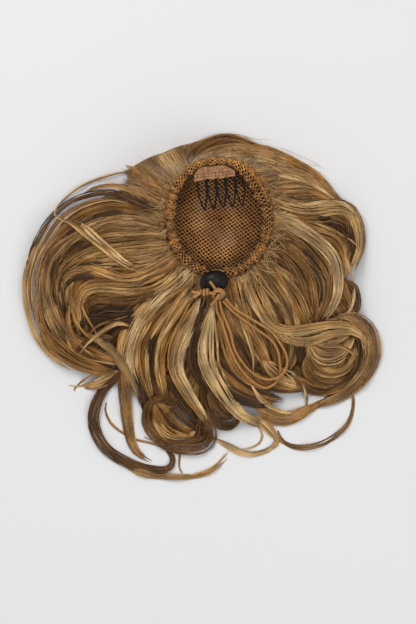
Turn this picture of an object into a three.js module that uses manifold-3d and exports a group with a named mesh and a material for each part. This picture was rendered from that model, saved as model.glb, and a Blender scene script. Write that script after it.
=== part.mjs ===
// Drawstring hairpiece: a gathered net pocket on a bed of wavy hair, with a comb, cord lock and knotted cord.
// Millimetres, +Z up. It lies on z = 0 with the mouth of the pocket facing up and the comb on the +Y side.
// The origin is on the resting face, under the middle of the pocket.
import * as THREE from "three";
import { mergeVertices } from "three/addons/utils/BufferGeometryUtils.js";
import Module from "manifold-3d";

const wasm = await Module();
wasm.setup();

// Clearance between neighbouring pieces
const GAP = 0.3;

// The rim is a rounded oval in plan, a little higher at the comb than at the cord lock
const RIM = { halfWidth: 33.8, halfLength: 38.8, centreY: 0, height: 51, rise: 3, squareness: 2.15 };

// Net pocket: wall thickness, depth under the rim, and how steep its sides are
const POCKET = { wall: 1.2, depth: 26, steepness: 4, segments: 20 };
const POCKET_STATIONS = [0, 0.34, 0.58, 0.8, 1];

// Rows of gaps through the net, each at a share of the way from the middle to the rim
const NET_ROWS = [
  { share: 0.2, gaps: 5, size: 2.8 },
  { share: 0.46, gaps: 10, size: 3.2 },
  { share: 0.8, gaps: 20, size: 3.2 },
];
const NET_CUTTER = { sides: 4, length: 5 };

// Gathered casing: an oval channel, open below on its outer side, narrower by the comb and pleated outside
const CASING = { halfWidth: 2.9, halfHeight: 2.6, wall: 0.8, segments: 32 };
const CASING_NARROWING = { share: 0.35, power: 3 };
const CASING_ARC = { from: 15, to: 262, outerPoints: 6, innerPoints: 5 };
const GATHERS = { count: 16, pleat: 0.2, outsideFrom: 0.9 };

// Elastic cord
const CORD = { diameter: 2, sides: 8 };
const RIM_CORD = { points: 30, exitHalfAngle: 16, steps: 42, sides: 6 };

// Cord lock: a flattened bead whose bore points out and up; both cord ends pass through it side by side
const BEAD = { radius: 10, halfLength: 7, bore: 3.8, arcPoints: 7, segments: 22 };
const BEAD_CENTRE = new THREE.Vector3(-3.5, -45, 51.3);
const BEAD_AXIS = new THREE.Vector3(0.28, -0.8, 0.55).normalize();
const BORE_CORD = { offset: 1.35, leadIn: 2.4 };
// How far the opening in the casing stands clear of the bead
const CASING_OPENING = 2.6;

// Overhand knot against the bead: its middle line winds between half and one and a half of its radius
const KNOT = { radius: 2.7, thickness: 1, steps: 32, sides: 6, spread: 0.5 };
const KNOT_CENTRE = new THREE.Vector3(-0.6, -53.3, 55.6);
const KNOT_AXIS = new THREE.Vector3(0.1, -0.6, 0.79).normalize();

// Tail knot: a short coil of the two cord ends, left of the main knot
const TAIL = { coilRadius: 1.7, pitch: 2.4, turns: 2.25, stepsPerTurn: 8, endSteps: 2, sides: 6 };
const TAIL_START = new THREE.Vector3(-7.4, -51.7, 57.7);
const TAIL_AIM = new THREE.Vector3(-1, -0.2, -0.15).normalize();
const TAIL_END_LENGTH = 6;
const TAIL_SPREAD = 0.35;

// Routes of the two loose loops of cord, from the knot over the hair and back
const LEFT_LOOP_ROUTE = [
  [-2.4, -57.4, 52.4], [-1.2, -65.5, 45.8], [1.5, -72, 42], [5, -82.5, 39.4], [8.5, -93, 35.4],
  [13, -102.5, 31.8], [19.5, -111, 26.4], [26.5, -116.5, 21.8], [32.5, -119, 18.8], [37, -117.5, 17.4],
  [41, -113.5, 17.8], [43, -108, 20.8], [42.5, -101, 24.8], [41.5, -94.5, 28.6], [39, -88.5, 31],
  [35, -84, 33.4], [29.5, -80, 36.2], [23, -75.5, 39.4], [16.3, -70.7, 43], [9.5, -65.3, 46],
  [2.6, -58, 51.6],
];
const RIGHT_LOOP_ROUTE = [
  [0.2, -57.8, 53], [1.8, -65, 46.8], [4.4, -71, 43.8], [7.8, -80, 41], [10.8, -91.5, 36.2],
  [16.3, -101, 30.8], [23.5, -108.6, 24.8], [31, -112.5, 21], [37, -113, 20.8], [42.5, -111, 22.2],
  [46.5, -106, 23.2], [47.7, -101, 24.6], [46.5, -94.5, 27.8], [41.5, -86, 33], [36.5, -79.5, 36.2],
  [28, -74, 40.2], [18.5, -68.2, 43.6], [10.5, -63.2, 47.4], [4.4, -56.6, 53.6],
];
const LOOP_STEPS = 25;

// Comb: wire teeth that leave the back bar in pairs and part into points, and the tape sewn over the bar
const COMB = { wire: 1.2, pitch: 6.6, teeth: 5, stem: 13.5, tooth: 23, pairOffset: 0.5, steps: 10, sides: 5 };
const COMB_BAR = { length: 32, width: 1.8, thickness: 1.4 };
const TAPE = { length: 28.5, width: 7.6, thickness: 1.2, slantLength: 7, slantWidth: 4.8 };
const TAPE_LEFT_SLANT = { length: 4.5, width: 5 };
const TAPE_PLACE = { across: -3.8, up: 3 };
const COMB_PLACE = new THREE.Vector3(0.7, 28.3, 49.1);
const COMB_TURN = THREE.MathUtils.degToRad(6);
const COMB_SLOPE = THREE.MathUtils.degToRad(20);

// Hair: how far it reaches from the middle of the cap in each direction, in degrees from +X
const HAIR_REACH = [
  { angle: 0, reach: 95 }, { angle: 10, reach: 83 }, { angle: 20, reach: 70 }, { angle: 32, reach: 62 },
  { angle: 45, reach: 54 }, { angle: 63, reach: 49 }, { angle: 90, reach: 48 }, { angle: 111, reach: 48 },
  { angle: 130, reach: 52 }, { angle: 145, reach: 60 }, { angle: 157, reach: 67 }, { angle: 170, reach: 93 },
  { angle: 182, reach: 120 }, { angle: 198, reach: 140 }, { angle: 214, reach: 150 },
  { angle: 226, reach: 146 }, { angle: 238, reach: 130 }, { angle: 248, reach: 136 },
  { angle: 260, reach: 146 }, { angle: 270, reach: 144 }, { angle: 280, reach: 138 },
  { angle: 290, reach: 128 }, { angle: 300, reach: 134 }, { angle: 312, reach: 146 },
  { angle: 321, reach: 136 }, { angle: 330, reach: 110 }, { angle: 345, reach: 99 },
  { angle: 360, reach: 95 },
];
const HAIR = { edgeHeight: 12, edgeFall: 10, belowRim: 2, swell: 1.7, slope: 1.15 };
const BED = { inset: 5, sink: 5, segments: 32 };
const BED_STATIONS = [0.96, 0.8, 0.62, 0.45, 0.25];

// Locks: width at the broadest, lift over the height of the hair, and the plan of the middle from root to tip
const LOCK_SHAPE = { flatness: 0.58, sides: 3, rootShare: 0.8, rootStretch: 0.2, tipShare: 0.4 };
const LOCK_STEPS = { fewest: 1, length: 75, turn: 1.15 };
const LOCK_ROOT = { within: 8, start: 1 };
// Half the width of a three-sided section inside a circle of radius 1
const RIDGE_HALF_WIDTH = Math.sqrt(3) / 2;
const LOCKS = [
  // Short tufts over the back and the arches above the rim
  { width: 14, lift: 0, path: [[-36, 9], [-48, 15], [-60, 22.5], [-66, 26]] },
  { width: 14, lift: 1, path: [[-36, 17], [-47, 25.5], [-56, 33.5], [-60, 37]] },
  { width: 14, lift: 0, path: [[-33, 24], [-41, 34], [-47, 42], [-50, 45]] },
  { width: 14, lift: 1, path: [[-28, 31], [-33, 39], [-37, 45], [-38, 47.5]] },
  { width: 14, lift: 0, path: [[-22, 36], [-25, 43], [-28, 49], [-28, 51.5]] },
  { width: 14, lift: 0, path: [[-12, 39], [-15, 46], [-14, 52], [-12, 56]] },
  { width: 12, lift: 2, path: [[-24, 35], [-16, 45], [-6, 52], [5, 55], [17, 53.5], [29, 49], [41, 46]] },
  { width: 11, lift: 3, path: [[-15, 38], [-6, 45.5], [5, 49], [18, 49.5], [31, 47], [46, 42]] },
  { width: 11, lift: 2, path: [[-5, 40], [5, 44], [17, 45.5], [30, 44.5], [45, 38], [58, 32]] },
  // Right side, swept outwards and down
  { width: 11, lift: 1, path: [[8, 41], [24, 47], [40, 44.5], [54, 38.5], [66, 31], [76, 22], [85, 13]] },
  { width: 13, lift: 1, path: [[27, 34], [40, 31], [53, 30], [65, 26], [76, 19]] },
  { width: 13, lift: 0, path: [[33, 25], [46, 22], [59, 22.5], [71, 20], [81, 14.5], [89, 8]] },
  { width: 12, lift: 1.5, path: [
    [36, 14], [47, 9], [59, 6], [69, 6], [79, 7], [88, 6], [94.5, 1], [98.5, -7], [100, -17], [97, -29],
    [91, -40],
  ] },
  { width: 13, lift: 0, path: [
    [38, 6], [54, -1], [68, -2], [80, -1], [88, -4], [93, -11], [94, -20], [91, -31], [86, -42],
  ] },
  { width: 14, lift: 0, path: [
    [38, -8], [45, -12], [57, -20], [67, -30], [74, -41], [75.5, -52], [73, -63], [69, -73],
  ] },
  { width: 14, lift: 1, path: [[37, -19], [50, -29], [59.5, -41.5], [64, -55], [65.5, -68], [65, -80]] },
  { width: 14, lift: 0, path: [
    [34, -29], [46, -42], [55, -55], [60.5, -68], [63, -80.5], [62, -94], [58, -108],
  ] },
  { width: 14, lift: 0, path: [
    [27, -35], [35, -47], [43, -58], [49, -69], [52.5, -81], [52, -95], [47, -109],
  ] },
  { width: 14, lift: 0, path: [[8, -40], [11, -56], [16, -70], [24, -84], [32, -98], [35, -111]] },
  { width: 10, lift: 3.5, path: [
    [38, 0], [47, -3], [59, -10.5], [71, -18], [80, -27], [84, -38], [83.5, -51], [79, -63], [71, -73],
  ] },
  { width: 7, lift: 4, path: [
    [21, -40], [23, -52], [28, -64], [35.5, -74], [47, -79], [63, -78], [78, -75], [92, -75.5], [102, -82],
    [108, -92],
  ] },
  { width: 7, lift: 3, path: [
    [27, -40], [32, -55], [35.5, -68], [42, -79], [51, -85.5], [63, -86.5], [75.5, -82], [89, -79.5],
    [99, -82], [106, -92], [106, -105],
  ] },
  // Curl at the lower right
  { width: 12, lift: 0, path: [[88, -42], [94, -52], [95.5, -62], [91, -72]] },
  { width: 12, lift: 2, path: [
    [80, -69], [95, -70], [104, -78], [108, -88], [107.5, -99], [103, -110], [95, -119], [85, -125.5],
    [74, -131], [62, -136],
  ] },
  { width: 12, lift: 1, path: [
    [73, -72], [88, -73], [98, -79], [102.5, -89], [102, -100], [97, -109.5], [88, -117], [77, -122],
    [65, -125],
  ] },
  { width: 11, lift: 0, path: [[60, -94], [61.5, -106], [68, -114], [79, -117], [90, -114], [99, -105]] },
  { width: 10, lift: 0, path: [[64, -86], [68, -92.5], [75.5, -96], [84.5, -94.5], [91, -89], [96, -81]] },
  { width: 9, lift: 0, path: [[24, -131], [35, -138], [46.5, -141], [56, -139], [66, -133.5], [81, -126]] },
  // Lower middle, under the cord loops
  { width: 13, lift: 0, path: [[2, -58], [6, -76], [9, -92], [14, -106], [24, -115], [38, -120]] },
  { width: 12, lift: 0, path: [[-4, -98], [4, -111], [16, -120], [32, -126], [48, -129]] },
  { width: 13, lift: 2, path: [
    [-4, -58], [-7, -76], [-9, -90], [-7, -104], [-1.5, -114], [4, -124], [11, -134], [21, -142],
    [32, -147], [42, -150],
  ] },
  { width: 12, lift: 0, path: [[-12, -110], [-7, -122], [-4, -132], [0, -140], [6, -144.5], [13, -142]] },
  { width: 5, lift: 0, path: [
    [-6, -154], [7, -161.5], [18.5, -166], [30, -165.5], [39, -160], [41.5, -152],
  ] },
  // Lower left, with the ring curl and the dark loop
  { width: 12, lift: 1, path: [
    [-7, -147], [-8, -155.5], [-15, -159.5], [-26, -160], [-37.5, -158], [-46, -152], [-50.5, -144.5],
    [-51, -137], [-48, -130], [-40.5, -126.5], [-30, -126],
  ] },
  { width: 10, lift: 0, path: [
    [-16, -150], [-26, -155], [-35, -153.5], [-41.5, -148], [-44, -140], [-42, -133], [-35, -130],
  ] },
  { width: 11, lift: 0, path: [[-33, -126], [-28, -134], [-22, -142], [-15, -147]] },
  { width: 13, lift: 2, path: [
    [-13, -55], [-20, -69], [-26, -82], [-30, -95], [-29.5, -108], [-23, -121], [-14, -133], [-9, -143],
    [-7.5, -151],
  ] },
  { width: 13, lift: 2, path: [[-17, -45], [-34, -59], [-46, -73], [-53, -88], [-54, -104], [-49, -121]] },
  { width: 11, lift: 1, path: [
    [-18, -40], [-34, -52.5], [-48, -65], [-58, -79], [-62, -93], [-61, -107], [-55, -122],
  ] },
  { width: 12, lift: 0, path: [
    [-20, -37], [-32, -44], [-43, -53], [-53.5, -64.5], [-62, -76], [-67, -87], [-68.5, -98], [-66, -109],
    [-60, -121],
  ] },
  { width: 8, lift: 2, path: [
    [-96, -79], [-86, -85], [-77, -91.5], [-70, -100], [-64, -110], [-58, -121], [-55, -134],
  ] },
  { width: 9, lift: 0, path: [
    [-68, -112], [-66, -126], [-64.5, -138], [-63, -150], [-60, -161], [-53, -169], [-44, -173.5],
  ] },
  { width: 8, lift: 0, path: [
    [-68, -106], [-74, -113.5], [-82, -121.5], [-87.5, -131.5], [-89, -142], [-86.5, -152.5], [-80, -162],
    [-70, -169.5], [-58, -175], [-45, -178], [-36.5, -177], [-32.5, -173], [-33, -167.5], [-37, -162.5],
    [-45, -157.5], [-54, -154.5],
  ] },
  { width: 5, lift: 0, path: [
    [-66, -174], [-52, -180], [-38, -182], [-24, -182.5], [-11, -181], [0, -175], [7.5, -166.5],
  ] },
  // Left side, outer waves
  { width: 5, lift: 1.5, path: [
    [-37, 3], [-46, 6], [-54, 9.5], [-64, 15], [-75, 18], [-86, 18], [-96.5, 15.5], [-106, 11], [-115, 4.5],
    [-122, -4], [-127.5, -13], [-132, -22], [-135, -32], [-136.5, -43], [-136.5, -53], [-134, -62],
    [-129, -73],
  ] },
  { width: 11, lift: 0, path: [
    [-37, -3], [-56, 2], [-69.5, 5], [-80.5, 6], [-91, 4], [-99, 0], [-107, -5], [-115.5, -12], [-122, -21],
    [-126, -31], [-128, -42], [-129, -54], [-129, -66], [-127, -78], [-122, -88], [-114, -97], [-103, -104],
    [-91, -108],
  ] },
  { width: 12, lift: 1.5, path: [
    [-37, -7], [-49, -3.5], [-60, -2], [-70.5, -2], [-81.5, -3], [-90, -6.5], [-98, -10.5], [-107, -16],
    [-114.5, -23], [-119, -31], [-121, -40], [-121.5, -51], [-120.5, -63], [-117, -75], [-110, -86],
    [-100, -94],
  ] },
  { width: 12, lift: 1, path: [
    [-36, -19], [-48, -19], [-60, -19], [-71, -20], [-80, -21.5], [-90, -24], [-99, -28.5], [-105.5, -35],
    [-109, -43], [-109.5, -53], [-108, -63], [-104, -74],
  ] },
  { width: 12, lift: 0.5, path: [
    [-34, -26], [-46, -28], [-57, -29.5], [-68, -30], [-79, -30.5], [-90, -32], [-98, -35], [-103.5, -41],
    [-105.5, -50], [-104, -60], [-100, -70],
  ] },
  { width: 6, lift: 4, path: [
    [-114, 0], [-104, -4.5], [-97, -10], [-89, -16.5], [-80, -23], [-71, -29.5], [-62, -34.5], [-53, -37],
    [-45, -37],
  ] },
  // Left side, inner waves and lower edge
  { width: 12, lift: 1.5, path: [
    [-31, -32], [-44, -37.5], [-56, -39.5], [-67, -39.5], [-78, -38.5], [-88, -38], [-96, -41],
    [-100.5, -48], [-100.5, -57], [-97, -66],
  ] },
  { width: 12, lift: 0.5, path: [
    [-27, -36], [-40, -43], [-51, -47], [-63, -48.5], [-76, -47.5], [-87, -47.5], [-95, -51], [-99, -58.5],
    [-99.5, -67.5], [-97, -77], [-91, -86],
  ] },
  { width: 11, lift: 0, path: [
    [-23, -39], [-38, -49], [-51, -55], [-64, -58], [-77, -57.5], [-87, -58], [-93.5, -63], [-95.5, -71],
    [-92.5, -79.5], [-86, -87],
  ] },
  { width: 11, lift: 0, path: [
    [-50, -62], [-60, -66], [-71, -67], [-80, -67], [-86.5, -71], [-86, -78], [-80, -84.5], [-72, -89],
  ] },
  { width: 12, lift: 0, path: [[-58, -72], [-66, -76], [-73, -80.5], [-76, -87]] },
  { width: 14, lift: 0, path: [
    [-126, -72], [-121, -84], [-112, -93], [-101, -100], [-89, -105], [-78, -107.5], [-68, -107.5],
  ] },
  { width: 12, lift: 0, path: [[-108, -80], [-99, -89], [-88, -95.5], [-77, -99.5], [-68, -102]] },
  { width: 9, lift: 0, path: [[-66, -107], [-77, -112.5], [-88, -117], [-99, -118.5]] },
  { width: 5, lift: 4, path: [
    [-60, -76.5], [-70.5, -74], [-78, -76.5], [-84.5, -81], [-91, -87], [-99, -97],
  ] },
];

const FULL_TURN = Math.PI * 2;
const UP = new THREE.Vector3(0, 0, 1);
const AXIS = new THREE.Vector3(0, 1, 0);
const MERGE_DISTANCE = 1e-4;
const ROOM_FACETS = { round: 18, up: 10 };

// Solids and meshes

function solidFrom(geometry) {
  const bare = geometry.clone();
  bare.deleteAttribute("normal");
  bare.deleteAttribute("uv");
  const merged = mergeVertices(bare, MERGE_DISTANCE);
  const corners = merged.index.array;
  const triangles = [];
  for (let i = 0; i < corners.length; i += 3) {
    const [a, b, c] = [corners[i], corners[i + 1], corners[i + 2]];
    if (a !== b && b !== c && c !== a) {
      triangles.push(a, b, c);
    }
  }
  return new wasm.Manifold(new wasm.Mesh({
    numProp: 3,
    vertProperties: new Float32Array(merged.attributes.position.array),
    triVerts: new Uint32Array(triangles),
  }));
}

function geometryFrom(solid) {
  const { vertProperties, triVerts } = solid.getMesh();
  const geometry = new THREE.BufferGeometry();
  geometry.setAttribute("position", new THREE.BufferAttribute(vertProperties, 3));
  geometry.setIndex(new THREE.BufferAttribute(triVerts, 1));
  geometry.computeVertexNormals();
  return geometry;
}

function joined(geometries) {
  return geometries.map(solidFrom).reduce((whole, piece) => whole.add(piece));
}

// The main body of a solid, without specks that a cut leaves beside or inside it
function mainBody(solid) {
  return solid.decompose().reduce((best, piece) => (piece.volume() > best.volume() ? piece : best));
}

// Moves every vertex of a geometry to the place that a function gives for it
function reshape(geometry, place) {
  const position = geometry.attributes.position;
  const vertex = new THREE.Vector3();
  for (let i = 0; i < position.count; i++) {
    vertex.fromBufferAttribute(position, i);
    position.setXYZ(i, ...place(vertex).toArray());
  }
  geometry.computeVertexNormals();
  return geometry;
}

function polygon(radius, sides) {
  const corners = [];
  for (let i = 0; i < sides; i++) {
    const angle = (i + 0.5) / sides * FULL_TURN;
    corners.push(new THREE.Vector2(radius * Math.cos(angle), radius * Math.sin(angle)));
  }
  return new THREE.Shape(corners);
}

function tube(points, radius, sides, steps) {
  const path = new THREE.CatmullRomCurve3(points);
  return new THREE.ExtrudeGeometry(polygon(radius, sides), { steps, bevelEnabled: false, extrudePath: path });
}

function routePoints(route) {
  return route.map(([x, y, z]) => new THREE.Vector3(x, y, z));
}

// Rim and pocket

function rimRadius(angle) {
  const across = Math.abs(Math.cos(angle) / RIM.halfWidth) ** RIM.squareness;
  const along = Math.abs(Math.sin(angle) / RIM.halfLength) ** RIM.squareness;
  return (across + along) ** (-1 / RIM.squareness);
}

function rimHeight(angle) {
  return RIM.height + RIM.rise * Math.sin(angle);
}

function polar(angle, radius, z) {
  return new THREE.Vector3(radius * Math.cos(angle), RIM.centreY + radius * Math.sin(angle), z);
}

// Profile coordinates of a lathe vertex: its angle round the axis, its radius and its height
function latheCoordinates(vertex) {
  return { angle: Math.atan2(vertex.x, vertex.z), radius: Math.hypot(vertex.x, vertex.z), height: vertex.y };
}

// A point on the pocket, a share of the way out from its middle, moved out from its inner face by an offset
function pocketPoint(angle, share, offset) {
  const radius = rimRadius(angle);
  const edge = rimHeight(angle) - CASING.halfHeight - GAP;
  const grade = POCKET.depth * POCKET.steepness * share ** (POCKET.steepness - 1) / radius;
  const slant = Math.hypot(grade, 1);
  const height = edge - POCKET.depth * (1 - share ** POCKET.steepness);
  return polar(angle, share * (radius - POCKET.wall) + offset * grade / slant, height - offset / slant);
}

function netCap() {
  const outer = POCKET_STATIONS.map((share) => new THREE.Vector2(share, 0));
  const inner = POCKET_STATIONS.map((share) => new THREE.Vector2(share, 1)).reverse();
  const bowl = reshape(new THREE.LatheGeometry([...outer, ...inner], POCKET.segments), (vertex) => {
    const { angle, radius, height } = latheCoordinates(vertex);
    return pocketPoint(angle, radius, POCKET.wall * (1 - height));
  });
  return NET_ROWS.reduce((net, row) => net.subtract(netGaps(row)), solidFrom(bowl));
}

// One row of diamond gaps, each square to the wall of the pocket
function netGaps({ share, gaps, size }) {
  const cutters = [];
  for (let i = 0; i < gaps; i++) {
    const angle = (i + 0.5) / gaps * FULL_TURN;
    const inside = pocketPoint(angle, share, 0);
    const outwards = pocketPoint(angle, share, POCKET.wall).sub(inside).normalize();
    const cutter = new THREE.CylinderGeometry(size, size, NET_CUTTER.length, NET_CUTTER.sides);
    cutter.applyQuaternion(new THREE.Quaternion().setFromUnitVectors(AXIS, outwards));
    cutter.translate(inside.x, inside.y, inside.z);
    cutters.push(cutter);
  }
  return joined(cutters);
}

// A point of an oval section, at an angle in degrees from its outer side towards its top
function ovalPoint(degrees, halfWidth, halfHeight) {
  const angle = THREE.MathUtils.degToRad(degrees);
  return new THREE.Vector2(halfWidth * Math.cos(angle), halfHeight * Math.sin(angle));
}

function rimCasing() {
  const { from, to, outerPoints, innerPoints } = CASING_ARC;
  const along = (count, i) => from + (to - from) * i / (count - 1);
  const section = [];
  for (let i = 0; i < outerPoints; i++) {
    section.push(ovalPoint(along(outerPoints, i), CASING.halfWidth, CASING.halfHeight));
  }
  for (let i = innerPoints - 1; i >= 0; i--) {
    const degrees = along(innerPoints, i);
    section.push(ovalPoint(degrees, CASING.halfWidth - CASING.wall, CASING.halfHeight - CASING.wall));
  }
  section.push(section[0].clone());
  const ring = section.map(({ x, y }) => new THREE.Vector2(RIM.halfWidth + x, y));
  return reshape(new THREE.LatheGeometry(ring, CASING.segments), (vertex) => {
    const { angle, radius, height } = latheCoordinates(vertex);
    const across = radius - RIM.halfWidth;
    const outside = Math.hypot(across / CASING.halfWidth, height / CASING.halfHeight) > GATHERS.outsideFrom;
    const pleat = outside ? 1 + GATHERS.pleat * Math.cos(GATHERS.count * angle) : 1;
    const breadth = 1 - CASING_NARROWING.share * Math.max(0, Math.sin(angle)) ** CASING_NARROWING.power;
    return polar(angle, rimRadius(angle) + across * pleat * breadth, rimHeight(angle) + height);
  });
}

// Cord and cord lock

function borePoint(along, sideways) {
  const side = new THREE.Vector3().crossVectors(BEAD_AXIS, UP).normalize();
  return BEAD_CENTRE.clone().addScaledVector(BEAD_AXIS, along).addScaledVector(side, sideways);
}

function boreEnd() {
  return BEAD.halfLength * Math.sqrt(1 - (BEAD.bore / BEAD.radius) ** 2);
}

function drawstring(radius) {
  const exit = THREE.MathUtils.degToRad(RIM_CORD.exitHalfAngle);
  const middle = Math.atan2(BEAD_CENTRE.y - RIM.centreY, BEAD_CENTRE.x);
  const round = [];
  for (let i = 0; i < RIM_CORD.points; i++) {
    const angle = middle - exit - (FULL_TURN - 2 * exit) * i / (RIM_CORD.points - 1);
    round.push(polar(angle, rimRadius(angle), rimHeight(angle)));
  }
  const throughBead = [boreEnd(), 0, -boreEnd(), -boreEnd() - BORE_CORD.leadIn];
  const leftRun = throughBead.map((along) => borePoint(along, BORE_CORD.offset * leftSign()));
  const rightRun = throughBead.map((along) => borePoint(along, -BORE_CORD.offset * leftSign())).reverse();
  return tube([...leftRun, ...round, ...rightRun], radius, RIM_CORD.sides, RIM_CORD.steps);
}

// The sign of the sideways bore offset that lies towards -X
function leftSign() {
  return borePoint(0, 1).x < BEAD_CENTRE.x ? 1 : -1;
}

function cordLock() {
  const end = boreEnd();
  const reachAngle = Math.asin(end / BEAD.halfLength);
  const profile = [];
  for (let i = 0; i < BEAD.arcPoints; i++) {
    const angle = reachAngle * (2 * i / (BEAD.arcPoints - 1) - 1);
    profile.push(new THREE.Vector2(BEAD.radius * Math.cos(angle), BEAD.halfLength * Math.sin(angle)));
  }
  profile.push(profile[0].clone());
  return new THREE.LatheGeometry(profile, BEAD.segments);
}

// The opening in the casing behind the bead, where both cord ends come out
function casingOpening() {
  const room = new THREE.SphereGeometry(1, ROOM_FACETS.round, ROOM_FACETS.up);
  const radius = BEAD.radius + CASING_OPENING;
  room.scale(radius, BEAD.halfLength + CASING_OPENING, radius);
  room.applyQuaternion(new THREE.Quaternion().setFromUnitVectors(AXIS, BEAD_AXIS));
  return room.translate(...BEAD_CENTRE.toArray());
}

// The casing, with the opening and the way of the cord through it taken out
function openedCasing() {
  const cordRoom = drawstring(CORD.diameter / 2 + GAP);
  return solidFrom(rimCasing()).subtract(solidFrom(casingOpening())).subtract(solidFrom(cordRoom));
}

function knot() {
  return new THREE.TorusKnotGeometry(KNOT.radius, KNOT.thickness, KNOT.steps, KNOT.sides, 2, 3);
}

function tailKnot() {
  const side = new THREE.Vector3().crossVectors(TAIL_AIM, UP).normalize();
  const lift = new THREE.Vector3().crossVectors(side, TAIL_AIM);
  const steps = Math.round(TAIL.turns * TAIL.stepsPerTurn);
  const coil = [];
  for (let i = 0; i <= steps; i++) {
    const turn = i / TAIL.stepsPerTurn;
    const point = TAIL_START.clone().addScaledVector(TAIL_AIM, turn * TAIL.pitch);
    point.addScaledVector(side, TAIL.coilRadius * Math.cos(turn * FULL_TURN));
    point.addScaledVector(lift, TAIL.coilRadius * Math.sin(turn * FULL_TURN));
    coil.push(point);
  }
  const last = coil[coil.length - 1];
  const freeEnd = (spread, from) => {
    const aim = TAIL_AIM.clone().addScaledVector(side, spread).normalize();
    return [from, from.clone().addScaledVector(aim, TAIL_END_LENGTH)];
  };
  const wound = tube(coil, CORD.diameter / 2, TAIL.sides, steps);
  const ends = [TAIL_SPREAD, -TAIL_SPREAD].map((spread) => {
    return tube(freeEnd(spread, last), CORD.diameter / 2, TAIL.sides, TAIL.endSteps);
  });
  return joined([wound, ...ends]);
}

function cordLoop(route) {
  return tube(routePoints(route), CORD.diameter / 2, CORD.sides, LOOP_STEPS);
}

// Comb and tape

// Teeth run along -Y from the back bar, with the wires of neighbouring teeth side by side until they part
function comb() {
  const first = -COMB.pitch * COMB.teeth / 2;
  const pieces = [new THREE.BoxGeometry(COMB_BAR.length, COMB_BAR.width, COMB_BAR.thickness)];
  for (let i = 0; i < COMB.teeth; i++) {
    const left = first + i * COMB.pitch + COMB.pairOffset;
    const right = first + (i + 1) * COMB.pitch - COMB.pairOffset;
    const tip = (left + right) / 2;
    const shoulder = COMB.tooth - COMB.wire;
    const route = [
      [left, 0, 0], [left, -COMB.stem / 2, 0], [left, -COMB.stem, 0],
      [tip - COMB.wire, -shoulder, 0], [tip, -COMB.tooth, 0], [tip + COMB.wire, -shoulder, 0],
      [right, -COMB.stem, 0], [right, -COMB.stem / 2, 0], [right, 0, 0],
    ];
    pieces.push(tube(routePoints(route), COMB.wire / 2, COMB.sides, COMB.steps));
  }
  return joined(pieces);
}

function combTape() {
  const { length, width, thickness, slantLength, slantWidth } = TAPE;
  const outline = new THREE.Shape();
  outline.moveTo(-length / 2, -width / 2);
  outline.lineTo(length / 2, -width / 2);
  outline.lineTo(length / 2, width / 2 - slantWidth);
  outline.lineTo(length / 2 - slantLength, width / 2);
  outline.lineTo(TAPE_LEFT_SLANT.length - length / 2, width / 2);
  outline.lineTo(-length / 2, width / 2 - TAPE_LEFT_SLANT.width);
  outline.closePath();
  return new THREE.ExtrudeGeometry(outline, { depth: thickness, bevelEnabled: false });
}

// Hair

function hairReach(angle) {
  const degrees = THREE.MathUtils.euclideanModulo(THREE.MathUtils.radToDeg(angle), 360);
  const next = HAIR_REACH.findIndex((row) => row.angle > degrees);
  const [before, after] = [HAIR_REACH[next - 1], HAIR_REACH[next]];
  const share = (degrees - before.angle) / (after.angle - before.angle);
  return THREE.MathUtils.lerp(before.reach, after.reach, share);
}

// Height of the top of the hair over a point in plan: highest at the rim, low at its outer edge
function hairHeight(x, y) {
  const angle = Math.atan2(y - RIM.centreY, x);
  const radius = Math.hypot(x, y - RIM.centreY);
  const inner = rimRadius(angle);
  const outer = hairReach(angle);
  const share = THREE.MathUtils.clamp((radius - inner) / (outer - inner), 0, 1);
  const beyond = Math.max(0, radius - outer) / HAIR.edgeFall;
  const crown = rimHeight(angle) - HAIR.belowRim - HAIR.edgeHeight;
  return crown * (1 - share ** HAIR.swell) ** HAIR.slope + HAIR.edgeHeight * Math.max(0, 1 - beyond);
}

function hairBed() {
  const profile = [new THREE.Vector2(0, 0), new THREE.Vector2(1, 0)];
  BED_STATIONS.forEach((share) => profile.push(new THREE.Vector2(share, 1)));
  profile.push(new THREE.Vector2(0, 1));
  return reshape(new THREE.LatheGeometry(profile, BED.segments), (vertex) => {
    const { angle, radius, height } = latheCoordinates(vertex);
    const point = polar(angle, radius * (hairReach(angle) - BED.inset), 0);
    point.z = height * Math.max(0, hairHeight(point.x, point.y) - BED.sink);
    return point;
  });
}

function lockWidth(share) {
  const rooted = THREE.MathUtils.smoothstep(share, 0, LOCK_SHAPE.rootStretch);
  const root = THREE.MathUtils.lerp(LOCK_SHAPE.rootShare, 1, rooted);
  return root * (1 - (1 - LOCK_SHAPE.tipShare) * share ** 2);
}

// How far a path in plan turns from its start to its end, in radians
function turning(path) {
  const headings = path.slice(1).map(([x, y], i) => new THREE.Vector2(x - path[i][0], y - path[i][1]));
  return headings.slice(1).reduce((sum, heading, i) => sum + heading.angleTo(headings[i]), 0);
}

// The plan of a lock, with a root that lies near the cap drawn in under the casing
function rootedPath(path) {
  const [x, y] = path[0];
  const angle = Math.atan2(y - RIM.centreY, x);
  const near = Math.hypot(x, y - RIM.centreY) < rimRadius(angle) + LOCK_ROOT.within;
  const root = polar(angle, rimRadius(angle) + LOCK_ROOT.start, 0);
  return near ? [[root.x, root.y], ...path.slice(1)] : path;
}

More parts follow.
